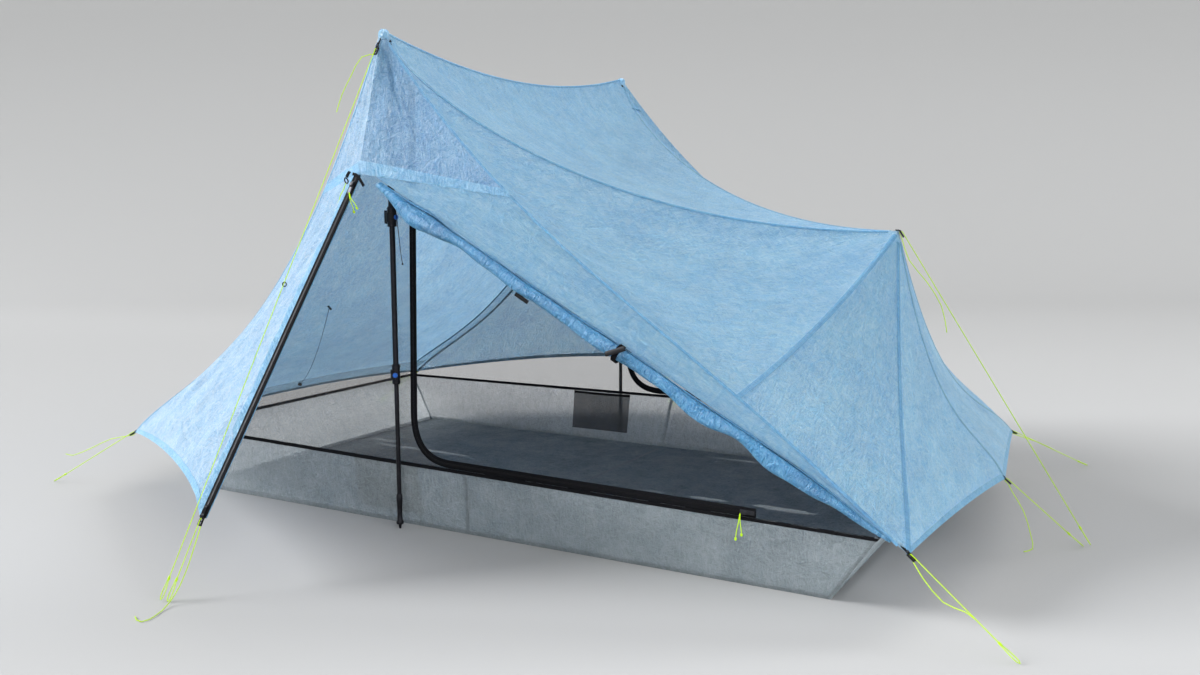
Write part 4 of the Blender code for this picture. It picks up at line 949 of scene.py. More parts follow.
front_tub, back_tub = tub_corners(FRONT), tub_corners(BACK)
tub_grids = {
    "tub_floor": patch(straight(front_tub[0], front_tub[1], 60), straight(back_tub[0], back_tub[1], 60),
                       straight(front_tub[1], back_tub[1], 36)),
    "tub_wall_front": wall_grid(*front_tub, 70), "tub_wall_back": wall_grid(*back_tub, 70),
    "tub_wall_head": wall_grid(front_tub[0], back_tub[0], front_tub[2], back_tub[2], 36),
    "tub_wall_foot": wall_grid(front_tub[1], back_tub[1], front_tub[3], back_tub[3], 36),
}


def rim_binding(name, rows):
    """The binding folded over a wall's top edge, so it shows inside and outside."""
    width, lift, thickness = 0.0105, 0.0013, 0.0034
    outward = grid_normals(rows)[-1]
    edge = []
    for share in (0.0, 0.5, 1.0):
        edge.append([top.lerp(top + (below - top).normalized() * width, share) + normal * lift
                     for top, below, normal in zip(rows[-1], rows[-2], outward)])
    return cloth_object(name, edge, thickness, "webbing_weave", [outward] * 3)


def cross_tape(name, points, facing, lift):
    """The tape over the join across the tub, on one of its sheets."""
    strip = [[p + Vector((x, 0, 0)) + facing * lift for p in points]
             for x in (-CROSS_TAPE_WIDTH / 2, CROSS_TAPE_WIDTH / 2)]
    return cloth_object(name, strip, TAPE_THICKNESS, "tub_tape_laminate", [[facing] * len(points)] * 2)


def floor_swell(point):
    """How far the floor is lifted at a point; nothing at its edges."""
    fade = (min(1, (FLOOR_WIDTH / 2 - abs(point.y)) / FLOOR_FADE)
            * min(1, (FLOOR_LENGTH / 2 - abs(point.x)) / FLOOR_FADE))
    return FLOOR_SWELL * max(0, noise.noise(point * 6)) * fade


for name, rows in tub_grids.items():
    wall = name != "tub_floor"
    pulls = [(p, 0.7) for p in front_tub[2:] + back_tub[2:]] if wall else []
    rows = settled(rows, pulls, swell=0.004 if wall else 0.0, reach=0.2, fade=0.04)
    if not wall:
        rows = [[p + Vector((0, 0, floor_swell(p))) for p in row] for row in rows]
    piece = cloth_object(f"{name}_cloth", rows, 0.001 if wall else 0.0006,
                         "tub_wall_laminate" if wall else "tub_floor_laminate")
    strips = []
    if wall:
        strips.append(tape(f"{name}_fold_tape", rows, "top", FOLD_TAPE_WIDTH, TAPE_LIFT, "tub_tape_laminate"))
        strips.append(rim_binding(f"{name}_rim_binding", rows))
        if "front" in name or "back" in name:
            for end, border in (("head", "left"), ("foot", "right")):
                strips.append(tape(f"{name}_corner_tape_{end}", rows, border, CORNER_TAPE_WIDTH, TAPE_LIFT,
                                   "tub_tape_laminate"))
            normals = grid_normals(rows)
            column = min(range(len(rows[0])), key=lambda j: abs(rows[0][j].x - TUB_SEAM_X))
            seam = [row[column] for row in rows[:-1]]
            strips.append(cross_tape(f"{name}_cross_tape", seam, normals[6][column], TAPE_LIFT))
    else:
        column = min(range(len(rows)), key=lambda i: abs(rows[i][0].x - TUB_SEAM_X))
        strips.append(cross_tape("tub_floor_cross_tape", rows[column][1:-1], UP, 0.0010))
    ride_as(piece, "tent", "tub", name)
    for strip in strips:
        ride_as(strip, "tent", "tub")
    declare_sheet(rows)
print("tub pieces", len(tub_grids))

# %% [markdown]
# Fine netting closes the gap between the tub and the canopy. On the closed back side it is
# a wall and a screen door with a zip between them, which runs down beside the pole and then
# bends along the tub's rim. On the open front side the screen is rolled up under the seam.

# %% Routes of the screen zips
NET_CLEARANCE, NET_TOP_Y, NET_TOP_Z = 0.008, 0.615, 1.25
SCREEN_ZIP_X, SCREEN_ZIP_BEND, SCREEN_ZIP_END_X, SCREEN_ZIP_LIFT = -0.125, 0.13, 0.9, 0.0012


def line_inside(rows, column, low, high):
    """A line a little inside a panel, along one of its columns."""
    normals = grid_normals(rows)
    return [rows[i][column] - normals[i][column] * NET_CLEARANCE for i in range(low, high)]


def screen_zip_route(side):
    """The screen door's zip and its bend's last point: beside the pole, then along the rim."""
    lift = Vector((0, 0, ZIP_WIDTH / 2 + SCREEN_ZIP_LIFT))
    top = Vector((SCREEN_ZIP_X, side * NET_TOP_Y, NET_TOP_Z))
    corner = wall_top_spot(side, SCREEN_ZIP_X) + lift
    bend_start = corner + (top - corner).normalized() * SCREEN_ZIP_BEND
    bend_end = wall_top_spot(side, SCREEN_ZIP_X + SCREEN_ZIP_BEND) + lift
    end = wall_top_spot(side, SCREEN_ZIP_END_X) + lift
    drop = straight(top, bend_start, 40)
    bend = []
    for step in range(1, 18):
        share = step / 18
        bend.append(bend_start.lerp(corner, share).lerp(corner.lerp(bend_end, share), share))
    return drop + bend + straight(bend_end, end, 40), len(drop) + len(bend)


def beside(points, side, distance):
    """A route moved a distance toward the head end in the plane of its long wall."""
    moved = []
    for k, point in enumerate(points):
        along = direction_at(points, k)
        moved.append(point - side * along.cross(Vector((0, side, 0))).normalized() * distance)
    return moved


def even(points, count):
    """The same run with evenly spaced points."""
    shares = length_shares(points)
    result = []
    k = 0
    for step in range(count + 1):
        share = step / count
        while k < len(shares) - 2 and shares[k + 1] < share:
            k += 1
        span = shares[k + 1] - shares[k]
        result.append(points[k].lerp(points[k + 1], min(max((share - shares[k]) / span, 0), 1)))
    return result


print("screen zip", round(run_length(screen_zip_route(FRONT)[0]), 3), "m")

# %% [markdown]
# Each netting wall hangs from a line just inside the canopy down to the tub's rim. A flat
# sheet would cut through the curved canopy, so the wall is a patch between those lines.

# %% Netting walls and screen
nets = {}
zip_routes = {}
head = panels["canopy_head"]
for name, side in SIDES.items():
    route, bend_last = screen_zip_route(side)
    zip_routes[name] = route
    left = line_inside(head, 3 if side == FRONT else -4, 6, len(head) - 2)
    right = beside(route[:bend_last - 2], side, ZIP_WIDTH / 2 - 0.002)
    above_rim = Vector((0, 0, 0.001))
    left = [right[0] - Vector((ZIP_WIDTH, 0, 0)), *left, wall_top_spot(side, WALL_HEAD[0]) + above_rim]
    right.append(wall_top_spot(side, right[-1].x) + above_rim)
    rows = patch(even(left, 44), even(right, 44), straight(left[-1], right[-1], 30))
    nets[f"mesh_{name}"] = rows
    if name == "back":
        upper, lower = panels["canopy_side_back_upper"], panels["canopy_side_back_lower"]
        line = []
        for rows, low in ((upper, 3), (lower, 1)):
            normals = grid_normals(rows)
            line += [rows[-1][j] - normals[-1][j] * NET_CLEARANCE for j in range(low, len(rows[0]) - 1)]
        rise = Vector((0, 0, ZIP_WIDTH / 2 - 0.002))
        left = beside(route[:bend_last], side, -ZIP_WIDTH / 2 + 0.002)
        right = [left[0] + Vector((ZIP_WIDTH, 0, 0)), *line, wall_top_spot(side, WALL_FOOT[0]) + rise * 2]
        rows = patch(even(left, 44), even(right, 44), straight(left[-1], right[-1], 40))
        nets["screen_back"] = rows
normals = grid_normals(head)
head_line = [head[-5][j] - normals[-5][j] * NET_CLEARANCE for j in range(len(head[0]))]
foot_line = [p - Vector((NET_CLEARANCE, 0, 0))
             for p in panels["canopy_end_front"][-6] + panels["canopy_end_back"][-6][-2::-1]]
for name, line, one, two in (("mesh_head", head_line, front_tub[2], back_tub[2]),
                             ("mesh_foot", foot_line, front_tub[3], back_tub[3])):
    line = even(line, 40)[1:-1]
    wall = straight(one, two, 40)[1:-1]
    nets[name] = [[a.lerp(c, share / 8) for a, c in zip(line, wall)] for share in range(9)]
for name, rows in nets.items():
    rows = settled(rows, [], swell=0.003, fade=0.05)
    piece = cloth_object(f"{name}_netting", rows, 0.0004, "insect_netting")
    strips = []
    if name in ("mesh_front", "mesh_back", "screen_back"):
        border = "left" if name.startswith("mesh") else "right"
        strips = [tape(f"{name}_bind_{border}", rows, border, 0.005, 0.0006, "seam_tape_laminate", 0.0010)]
    ride_as(piece, "tent", "net", name)
    for strip in strips:
        ride_as(strip, "tent", "net")
    declare_sheet(rows)
print("netting", {name: len(rows) for name, rows in nets.items()})

# %% [markdown]
# Tapes, straps, cords and rolls are each one outline carried along a route. A curve object
# with a bevel could do it, but a mesh of its own gets a UV map in metres and closed ends.

# %% An outline carried along a route
def frames_along(points):
    """Sideways and upward directions for each point of a route."""
    result = []
    for k in range(len(points)):
        along = direction_at(points, k)
        side = along.cross(UP).normalized()
        result.append((side, side.cross(along).normalized()))
    return result


def bridge(bm, rings):
    """Faces between each ring of vertices and the next."""
    for one, two in zip(rings, rings[1:]):
        for k in range(len(one)):
            after = (k + 1) % len(one)
            bm.faces.new([one[k], one[after], two[after], two[k]])


def sweep(name, points, outline_at, material, angle=40):
    """A closed outline carried along a route, with a UV map: along it and round it."""
    bm = bmesh.new()
    uv_layer = bm.loops.layers.uv.new("cloth")
    rings, flats = [], {}
    along = 0.0
    for index, point in enumerate(points):
        if index:
            along += (point - points[index - 1]).length
        spots = outline_at(index, point)
        ring = []
        around = 0.0
        for k, spot in enumerate(spots):
            if k:
                around += (spot - spots[k - 1]).length
            vert = bm.verts.new(spot)
            flats[vert] = (along, around)
            ring.append(vert)
        rings.append(ring)
    bridge(bm, rings)
    bm.faces.new(rings[0][::-1])
    bm.faces.new(rings[-1])
    for face in bm.faces:
        for loop in face.loops:
            loop[uv_layer].uv = flats[loop.vert]
    return mesh_object(name, bm, material, angle=angle)


print("helpers: frames_along, bridge, sweep")

# %% [markdown]
# The open front door and its screen are rolled up. A roll is a spiral outline carried along
# its line, so its end shows the turns.

# %% Rolls
def rolled_cloth(name, points, radii, material, turns, lumps):
    """A rolled length of cloth: a spiral whose last turn shows its edge."""
    frames = frames_along(points)
    count = 46

    def outline(index, point):
        side, over = frames[index]
        radius = radii[index]
        outer, inner = [], []
        for k in range(count + 1):
            share = k / count
            angle = 2 * math.pi * turns * share + 0.4
            wobble = 1 + lumps * noise.noise(point * 9 + Vector((math.cos(angle), math.sin(angle), 0)) * 0.8)
            reach = radius * (0.42 + 0.58 * share) * wobble
            ray = side * math.cos(angle) + over * math.sin(angle)
            outer.append(point + ray * reach)
            inner.append(point + ray * (reach - 0.0011 - 0.02 * radius))
        return outer + inner[::-1]

    return sweep(name, points, outline, material, angle=60)


DOOR_TURNS, SCREEN_TURNS, SCREEN_ROLL_RADIUS = 3.2, 4.2, 0.0132


ROLL_STEPS, ROLL_FIRST, ROLL_SPARE = 110, 3, 5
tip, corner = place(BEAK_TIP, FRONT), place(FOOT_CORNER, FRONT)
line = straight(corner, tip, ROLL_STEPS)[ROLL_FIRST:-ROLL_SPARE]
full = [roll_radius((k + ROLL_FIRST) / ROLL_STEPS) for k in range(len(line))]
radii = []
for k, radius in enumerate(full):
    from_top = len(line) - 1 - k
    taper = min(1, 0.50 + 0.045 * from_top)
    uneven = 0.94 + 0.30 * noise.noise(Vector((k * 0.16, 0, 2.5)))
    bulge = 1 + 0.6 * math.exp(-((from_top - 8) / 5.0) ** 2)
    radii.append(radius * taper * uneven * bulge)
line = [p + Vector((0, 0, whole - radius)) for p, whole, radius in zip(line, full, radii)]
door_roll = rolled_cloth("door_front_right_rolled_cloth", line, radii, "roll_laminate", DOOR_TURNS, 0.34)
ride_as(door_roll, "tent", "canopy", "door_front_right_roll")

SCREEN_ROLL_DROP, SCREEN_ROLL_ENDS = 0.0218, (0.236, 0.842)
upper, lower = panels["canopy_side_front_upper"], panels["canopy_side_front_lower"]
beside_seam = grid_normals(panels["door_front_right"])
line = []
for rows, low, high, first in ((upper, 14, len(upper[0]), 0), (lower, 1, len(lower[0]), 25)):
    normals = grid_normals(rows)
    for j in range(low, high):
        inward = normals[-1][j] + beside_seam[len(beside_seam) - 1 - (first + j - low)][0]
        line.append(rows[-1][j] - inward.normalized() * SCREEN_ROLL_DROP)
line = [p for p in line if SCREEN_ROLL_ENDS[0] < p.x < SCREEN_ROLL_ENDS[1]]
radii = [SCREEN_ROLL_RADIUS] * len(line)
screen_roll = rolled_cloth("screen_front_rolled_netting", line, radii, "rolled_netting", SCREEN_TURNS, 0.10)
ride_as(screen_roll, "tent", "net", "screen_front_roll")
print("rolls made")

# %% [markdown]
# A pocket of closer net hangs on each long wall. It follows the wall's slope and sags a
# little between its ends, and its top edge is bound.

# %% Pockets
POCKET_ROWS, POCKET_COLUMNS, POCKET_SAG, POCKET_GAP = 12, 16, 0.007, 0.0032
for name, side in SIDES.items():
    low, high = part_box(f"pocket_{name}")
    foot_y = side * FLOOR_WIDTH / 2
    rows = []
    for i in range(POCKET_ROWS + 1):
        z = high.z - (high.z - low.z) * i / POCKET_ROWS
        row = []
        for j in range(POCKET_COLUMNS + 1):
            x = low.x + (high.x - low.x) * j / POCKET_COLUMNS
            wall_y = foot_y + (wall_top_spot(side, x).y - foot_y) * z / WALL_TOP
            sag = POCKET_SAG * math.sin(math.pi * j / POCKET_COLUMNS) * (1 - i / POCKET_ROWS) + POCKET_GAP
            row.append(Vector((x, wall_y - side * sag, z)))
        rows.append(row)
    pocket = cloth_object(f"pocket_{name}_netting", rows, 0.0004, "pocket_netting")
    bind = tape(f"pocket_{name}_bind", rows, "top", 0.009, 0.0004, "webbing_weave", 0.0010)
    ride_as(pocket, "tent", "net", f"pocket_{name}")
    ride_as(bind, "tent", "net")
    declare_sheet(rows)
print("pockets made")

# %% [markdown]
# A zip is a woven tape with a coil down its middle, and a slider with a pull. The coil's
# turns and the stitches of a tape are small pieces repeated along a line, so one Geometry
# Nodes tree makes them: it spaces points on the line, puts a small block on each and turns
# it to follow the line.

# %% A tree that repeats a small piece along a line
def repeat_tree():
    """Small blocks along a line: their spacing, length, width and height are inputs."""
    tree = bpy.data.node_groups.new("blocks_along_a_line", "GeometryNodeTree")
    tree.interface.new_socket("Geometry", in_out="INPUT", socket_type="NodeSocketGeometry")
    for label, value in (("Spacing", 0.003), ("Block Length", 0.002), ("Block Width", 0.004),
                         ("Block Height", 0.001)):
        socket = tree.interface.new_socket(label, in_out="INPUT", socket_type="NodeSocketFloat")
        socket.default_value = value
    tree.interface.new_socket("Up", in_out="INPUT", socket_type="NodeSocketVector")
    tree.interface.new_socket("Material", in_out="INPUT", socket_type="NodeSocketMaterial")
    tree.interface.new_socket("Geometry", in_out="OUTPUT", socket_type="NodeSocketGeometry")
    start, end = tree.nodes.new("NodeGroupInput"), tree.nodes.new("NodeGroupOutput")

    def add(kind, **links):
        made = tree.nodes.new(kind)
        for key, output in links.items():
            tree.links.new(output, made.inputs[key.replace("_", " ")])
        return made

    curve = add("GeometryNodeMeshToCurve", Mesh=start.outputs["Geometry"])
    spaced = add("GeometryNodeResampleCurve", Curve=curve.outputs[0])
    spaced.mode = "LENGTH"
    tree.links.new(start.outputs["Spacing"], spaced.inputs["Length"])
    size = add("ShaderNodeCombineXYZ", X=start.outputs["Block Length"], Y=start.outputs["Block Width"],
               Z=start.outputs["Block Height"])
    block = add("GeometryNodeMeshCube", Size=size.outputs[0])
    tangent = add("GeometryNodeInputTangent")
    turn_one = add("FunctionNodeAlignRotationToVector", Vector=start.outputs["Up"])
    turn_one.axis = "Z"
    turn_two = add("FunctionNodeAlignRotationToVector", Rotation=turn_one.outputs[0],
                   Vector=tangent.outputs[0])
    turn_two.axis, turn_two.pivot_axis = "X", "Z"
    placed = add("GeometryNodeInstanceOnPoints", Points=spaced.outputs[0], Instance=block.outputs[0],
                 Rotation=turn_two.outputs[0])
    real = add("GeometryNodeRealizeInstances", Geometry=placed.outputs[0])
    finish = add("GeometryNodeSetMaterial", Geometry=real.outputs[0], Material=start.outputs["Material"])
    tree.links.new(finish.outputs[0], end.inputs[0])
    return tree


repeat = repeat_tree()


def blocks_along(name, points, spacing, size, up, material):
    """A plain mesh of small blocks along a line, made by the tree."""
    mesh = bpy.data.meshes.new(name + "_line")
    mesh.from_pydata(points, [(k, k + 1) for k in range(len(points) - 1)], [])
    guide = link(bpy.data.objects.new(name + "_line", mesh))
    modifier = guide.modifiers.new("repeat", "NODES")
    modifier.node_group = repeat
    sockets = {item.name: item.identifier for item in repeat.interface.items_tree if item.in_out == "INPUT"}
    for label, value in (("Spacing", spacing), ("Block Length", size[0]), ("Block Width", size[1]),
                         ("Block Height", size[2]), ("Up", tuple(up)), ("Material", materials[material])):
        modifier[sockets[label]] = value
    evaluated = guide.evaluated_get(bpy.context.evaluated_depsgraph_get())
    result = bpy.data.meshes.new_from_object(evaluated)
    piece = link(bpy.data.objects.new(name, result))
    bpy.data.objects.remove(guide)
    return piece


print("tree for blocks along a line:", len(repeat.nodes), "nodes")

# %% [markdown]
# There are four zips: one down each door and one round each screen. The tape is an outline
# carried along the zip's route, and its coil and two rows of stitches come from the tree.

# %% Zips
def tape_section(points, facing, width, thickness):
    """An outline for a flat tape that looks one way."""
    def outline(index, point):
        along = direction_at(points, index)
        side = along.cross(facing).normalized()
        out = side.cross(along).normalized()
        w, t = width / 2, thickness / 2
        shape = [(-w, -t * 0.6), (-w + t, -t), (w - t, -t), (w, -t * 0.6),
                 (w, t * 0.6), (w - t, t), (-w + t, t), (-w, t * 0.6)]
        return [point + side * x + out * z for x, z in shape]
    return outline


ZIP_FACE, STITCH_ASIDE = 0.0011, 0.0088
COIL_SPACING, COIL_TURN = 0.0028, (0.0016, 0.0052, 0.0016)
STITCH_SPACING, STITCH = 0.0050, (0.0030, 0.0006, 0.0005)
COVER_STEPS, COVER_DEPTH, COVER_COLUMNS = 40, 0.0022, (-0.0125, -0.004, 0.004, 0.0125)


def zip_parts(name, points, facing, node_name):
    """A zip's tape, coil and two rows of stitches; the tape stands for its CAD node."""
    facing = Vector(facing).normalized()
    band = sweep(f"{name}_tape", points, tape_section(points, facing, ZIP_WIDTH, 0.0020), "zip_tape_weave")
    ride_as(band, "tent", "zip", node_name)
    coil = blocks_along(f"{name}_coil", [p + facing * ZIP_FACE for p in points], COIL_SPACING, COIL_TURN,
                        facing, "zip_coil")
    ride_as(coil, "tent", "zip")
    for index, offset in enumerate((-STITCH_ASIDE, STITCH_ASIDE)):
        shifted = []
        for k, point in enumerate(points):
            along = direction_at(points, k)
            shifted.append(point + along.cross(facing).normalized() * offset + facing * ZIP_FACE)
        stitches = blocks_along(f"{name}_stitches_{index}", shifted, STITCH_SPACING, STITCH, facing,
                                "webbing_weave")
        ride_as(stitches, "tent", "zip")


for name, side in SIDES.items():
    start, end = place(BEAK_TIP, side), place(DOOR_FOOT, side)
    along = (end - start).normalized()
    facing = Vector((0, side * -along.z, side * along.y))
    inward = -facing if facing.dot(Vector((0, side, 0))) > 0 else facing
    strip = [[p + inward * COVER_DEPTH + Vector((x, 0, 0)) for p in straight(start, end, COVER_STEPS)]
             for x in COVER_COLUMNS]
    cover = cloth_object(f"door_zip_{name}_inner_cover", strip, 0.0006, "seam_tape_laminate",
                         [[inward] * (COVER_STEPS + 1)] * len(COVER_COLUMNS))
    ride_as(cover, "tent", "canopy")
    zip_parts(f"door_zip_{name}", straight(start + along * 0.0039, end, 60), facing, f"zip_tape_door_{name}")
    zip_parts(f"screen_zip_{name}", zip_routes[name], (0, side, 0), f"zip_tape_screen_{name}")


print("zips made")

# %% [markdown]
# The sliders and the poles' clamps have shapes that the frame already holds. They need only
# rounder edges, so each is a copy with its doubles merged and a Bevel modifier.

# %% Zip sliders
def softened(name, node_name, width, segments, material, body, slot):
    """A copy of a CAD node with its doubles merged and its edges rounded, in its place."""
    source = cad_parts[node_name]
    bm = bmesh.new()
    bm.from_mesh(source.data)
    bmesh.ops.transform(bm, matrix=source.matrix_world, verts=bm.verts)
    bmesh.ops.remove_doubles(bm, verts=bm.verts, dist=TINY)
    bmesh.ops.dissolve_limit(bm, angle_limit=math.radians(3), verts=bm.verts, edges=bm.edges)
    piece = mesh_object(name, bm, material)
    bevel = piece.modifiers.new("round", "BEVEL")
    bevel.width, bevel.segments, bevel.limit_method = width, segments, "ANGLE"
    bevel.angle_limit = math.radians(35)
    ride_as(piece, body, slot, node_name)


for kind in ("door", "screen"):
    for name in SIDES:
        softened(f"{kind}_slider_{name}", f"zip_slider_{kind}_{name}", 0.0009, 3, "slider_metal",
                 f"{name}_{kind}_slider", "slider")
print("sliders made")

# %% [markdown]
# Grips, tubes, tips and cups are round. Cylinders could be stacked, but one profile turned
# about an axis, as on a lathe, gives every step and groove at once.

# %% Turned parts
LATHE_SIDES, DIAL_TEETH = 40, 18


def lathe(name, profile, centre, material, angle=35):
    """A closed profile of radii and heights turned about an upright line."""
    bm = bmesh.new()
    rings = []
    for radius, height in profile:
        if radius == 0:
            rings.append([bm.verts.new(centre + Vector((0, 0, height)))])
        else:
            rings.append([bm.verts.new(centre + Vector((radius * math.cos(a), radius * math.sin(a), height)))
                          for a in (2 * math.pi * k / LATHE_SIDES for k in range(LATHE_SIDES))])
    pairs = list(zip(rings, rings[1:]))
    if profile[0][0] != 0:
        pairs.append((rings[-1], rings[0]))
    for one, two in pairs:
        if len(one) == len(two) == 1:
            continue
        for k in range(LATHE_SIDES):
            ring = []
            for verts, index in ((one, k), (one, k + 1), (two, k + 1), (two, k)):
                vert = verts[index % len(verts)]
                if vert not in ring:
                    ring.append(vert)
            bm.faces.new(ring)
    return mesh_object(name, bm, material, angle=angle)


def knurled_dial(name, centre, out, radius, depth):
    """A small dial with a milled edge and a shallow round recess in its face, as on a clamp's tension screw.
    """
    side = out.orthogonal().normalized()
    over = out.cross(side)
    bm = bmesh.new()
    rings = []
    for share, size in ((0.0, 0.86), (0.0, 0.97), (0.12, 1.0), (0.80, 1.0), (0.95, 0.93), (1.0, 0.80),
                        (1.0, 0.42), (0.80, 0.38)):
        ring = []
        for k in range(DIAL_TEETH * 4):
            angle = 2 * math.pi * k / (DIAL_TEETH * 4)
            notch = 0.94 if k % 4 in (0, 1) and size > 0.9 else 1.0
            ray = side * math.cos(angle) + over * math.sin(angle)
            ring.append(bm.verts.new(centre + out * depth * share + ray * radius * size * notch))
        rings.append(ring)
    bridge(bm, rings)
    bm.faces.new(rings[0][::-1])
    bm.faces.new(rings[-1])
    return mesh_object(name, bm, "dial_plastic", angle=30)


print("helpers: lathe, knurled_dial")

# %% [markdown]
# The tent stands on two trekking poles. Each is a foam grip and three tubes that slide into
# each other, held by two clamps whose levers wrap round them. The grip, the lower tube and
# its tip are profiles turned about the pole's axis. The other two tubes are the frame's own
# shapes with their edges rounded.

# %% Trekking poles
POLE_X, POLE_Y = -0.17, 0.658
LOWER, MIDDLE, UPPER = 0.0063, 0.0077, 0.0091
CLAMP_HEIGHT, CLAMP_WALL, DIAL_STAND, DIAL_RADIUS, DIAL_DEPTH = 0.052, 0.0035, 0.0095, 0.0068, 0.0034
UPPER_CLAMP, LOWER_CLAMP = (0.845, UPPER, -15), (0.413, MIDDLE, -58)
GRIP_RADIUS, GRIP_GROOVE, GRIP_STEPS = 0.0142, 0.0006, 89
LOWER_TUBE = [(0, 0.0002), (0.0022, 0.0002), (0.0030, 0.0012), (0.0036, 0.004), (0.0046, 0.010),
              (0.0050, 0.0138), (0.0102, 0.0142), (0.0105, 0.017), (0.0105, 0.020), (0.0078, 0.024),
              (0.0070, 0.04), (0.0078, 0.070), (0.0088, 0.084), (0.0088, 0.092), (0.0074, 0.099),
              (LOWER, 0.1005), (LOWER, 0.515), (0.0058, 0.5198), (0, 0.5198)]
PEAK_CUP = [(0, 0.0006), (0.0128, 0.0006), (0.0130, 0.0020), (0.0110, 0.0060), (0.0066, 0.0090), (0, 0.0105)]
PEAK_CAP = [(0, 0.0012), (0.0055, 0.0006), (0.0100, -0.0016), (0.0132, -0.0055), (0.0148, -0.0110),
            (0.0150, -0.0200), (0.0146, -0.0300), (0.0136, -0.0300), (0.0140, -0.0200), (0.0138, -0.0112),
            (0.0122, -0.0062), (0.0092, -0.0026), (0.0050, -0.0005), (0, 0)]


def clamp_band(foot, radius):
    """The profile of the raised band round a clamp's housing."""
    return [(radius + CLAMP_WALL + out, foot + up) for out, up in
            ((-0.0006, 0), (0.0006, 0.0003), (0.0009, 0.001), (0.0006, 0.0017), (-0.0006, 0.002))]


for name, side in SIDES.items():
    centre = Vector((POLE_X, side * POLE_Y, 0))
    low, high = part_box(f"pole_{name}_grip")
    ridges = []
    for k in range(GRIP_STEPS + 1):
        share = k / GRIP_STEPS
        swell = GRIP_GROOVE * math.sin(share * math.pi * 2 - 0.6)
        groove = GRIP_GROOVE if k % 6 == 5 and 0.12 < share < 0.9 else 0.0
        ridges.append((GRIP_RADIUS + swell - groove, low.z + (high.z - 0.010 - low.z) * share))
    profile = [(0.0094, low.z), *ridges, (0.0128, high.z - 0.004), (0.0098, high.z - 0.0004),
               (0, high.z - 0.0002), (0, high.z - 0.0114), (0.0094, high.z - 0.0114)]
    ride_as(lathe(f"pole_{name}_foam_grip", profile[::-1], centre, "grip_foam"), "tent", "foam",
            f"pole_{name}_grip")
    for part, (foot, radius, _), body in (("upper", UPPER_CLAMP, "tent"),
                                          ("middle", LOWER_CLAMP, f"{name}_pole_middle")):
        softened(f"pole_{name}_{part}_tube_and_clamp", f"pole_{name}_{part}", 0.0005, 2, "pole_anodised",
                 body, "tube")
        for index, height in enumerate((0.003, CLAMP_HEIGHT - 0.004)):
            band = lathe(f"pole_{name}_{part}_clamp_band_{index}", clamp_band(foot + height, radius), centre,
                         "lock_plastic")
            ride_as(band, body, "tube")
    ride_as(lathe(f"pole_{name}_lower_tube_and_tip", LOWER_TUBE, centre, "pole_anodised"),
            f"{name}_pole_lower", "tube", f"pole_{name}_lower")
    for lock, (foot, radius, turn) in (("upper", UPPER_CLAMP), ("lower", LOWER_CLAMP)):
        body = f"{name}_{lock}_lever"
        softened(f"pole_{name}_{lock}_clamp_lever", f"pole_{name}_{lock}_lever", 0.0006, 3, "lock_plastic",
                 body, "lever")
        angle = -side * math.radians(turn)
        out = Vector((math.cos(angle), math.sin(angle), 0))
        seat = centre + Vector((0, 0, foot + CLAMP_HEIGHT / 2)) + out * (radius + DIAL_STAND)
        dial = knurled_dial(f"pole_{name}_{lock}_clamp_dial", seat, out, DIAL_RADIUS, DIAL_DEPTH)
        ride_as(dial, body, "lever")
    low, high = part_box(f"peak_cup_{name}")
    seat = Vector(((low.x + high.x) / 2 - 0.002, side * POLE_Y, low.z))
    ride_as(lathe(f"peak_cup_{name}_moulded", PEAK_CUP, seat, "webbing_weave"), "tent", "cup",
            f"peak_cup_{name}")
    seat = Vector((PEAK[0] + 0.003, side * (PEAK[1] - 0.007), PEAK[2]))
    cap = lathe(f"peak_reinforcement_{name}", PEAK_CAP, seat, "canopy_laminate", angle=60)
    ride_as(cap, "tent", "canopy")
print("poles made")

# %% [markdown]
# Ten guylines hold the tent out. Each is one length of thin braided cord: its free tail, its
# turn through the lock at the corner, its taut run to the ground and a loop for a stake,
# tied with a knot. Something outside the picture holds them taut, so each ends in its loop.

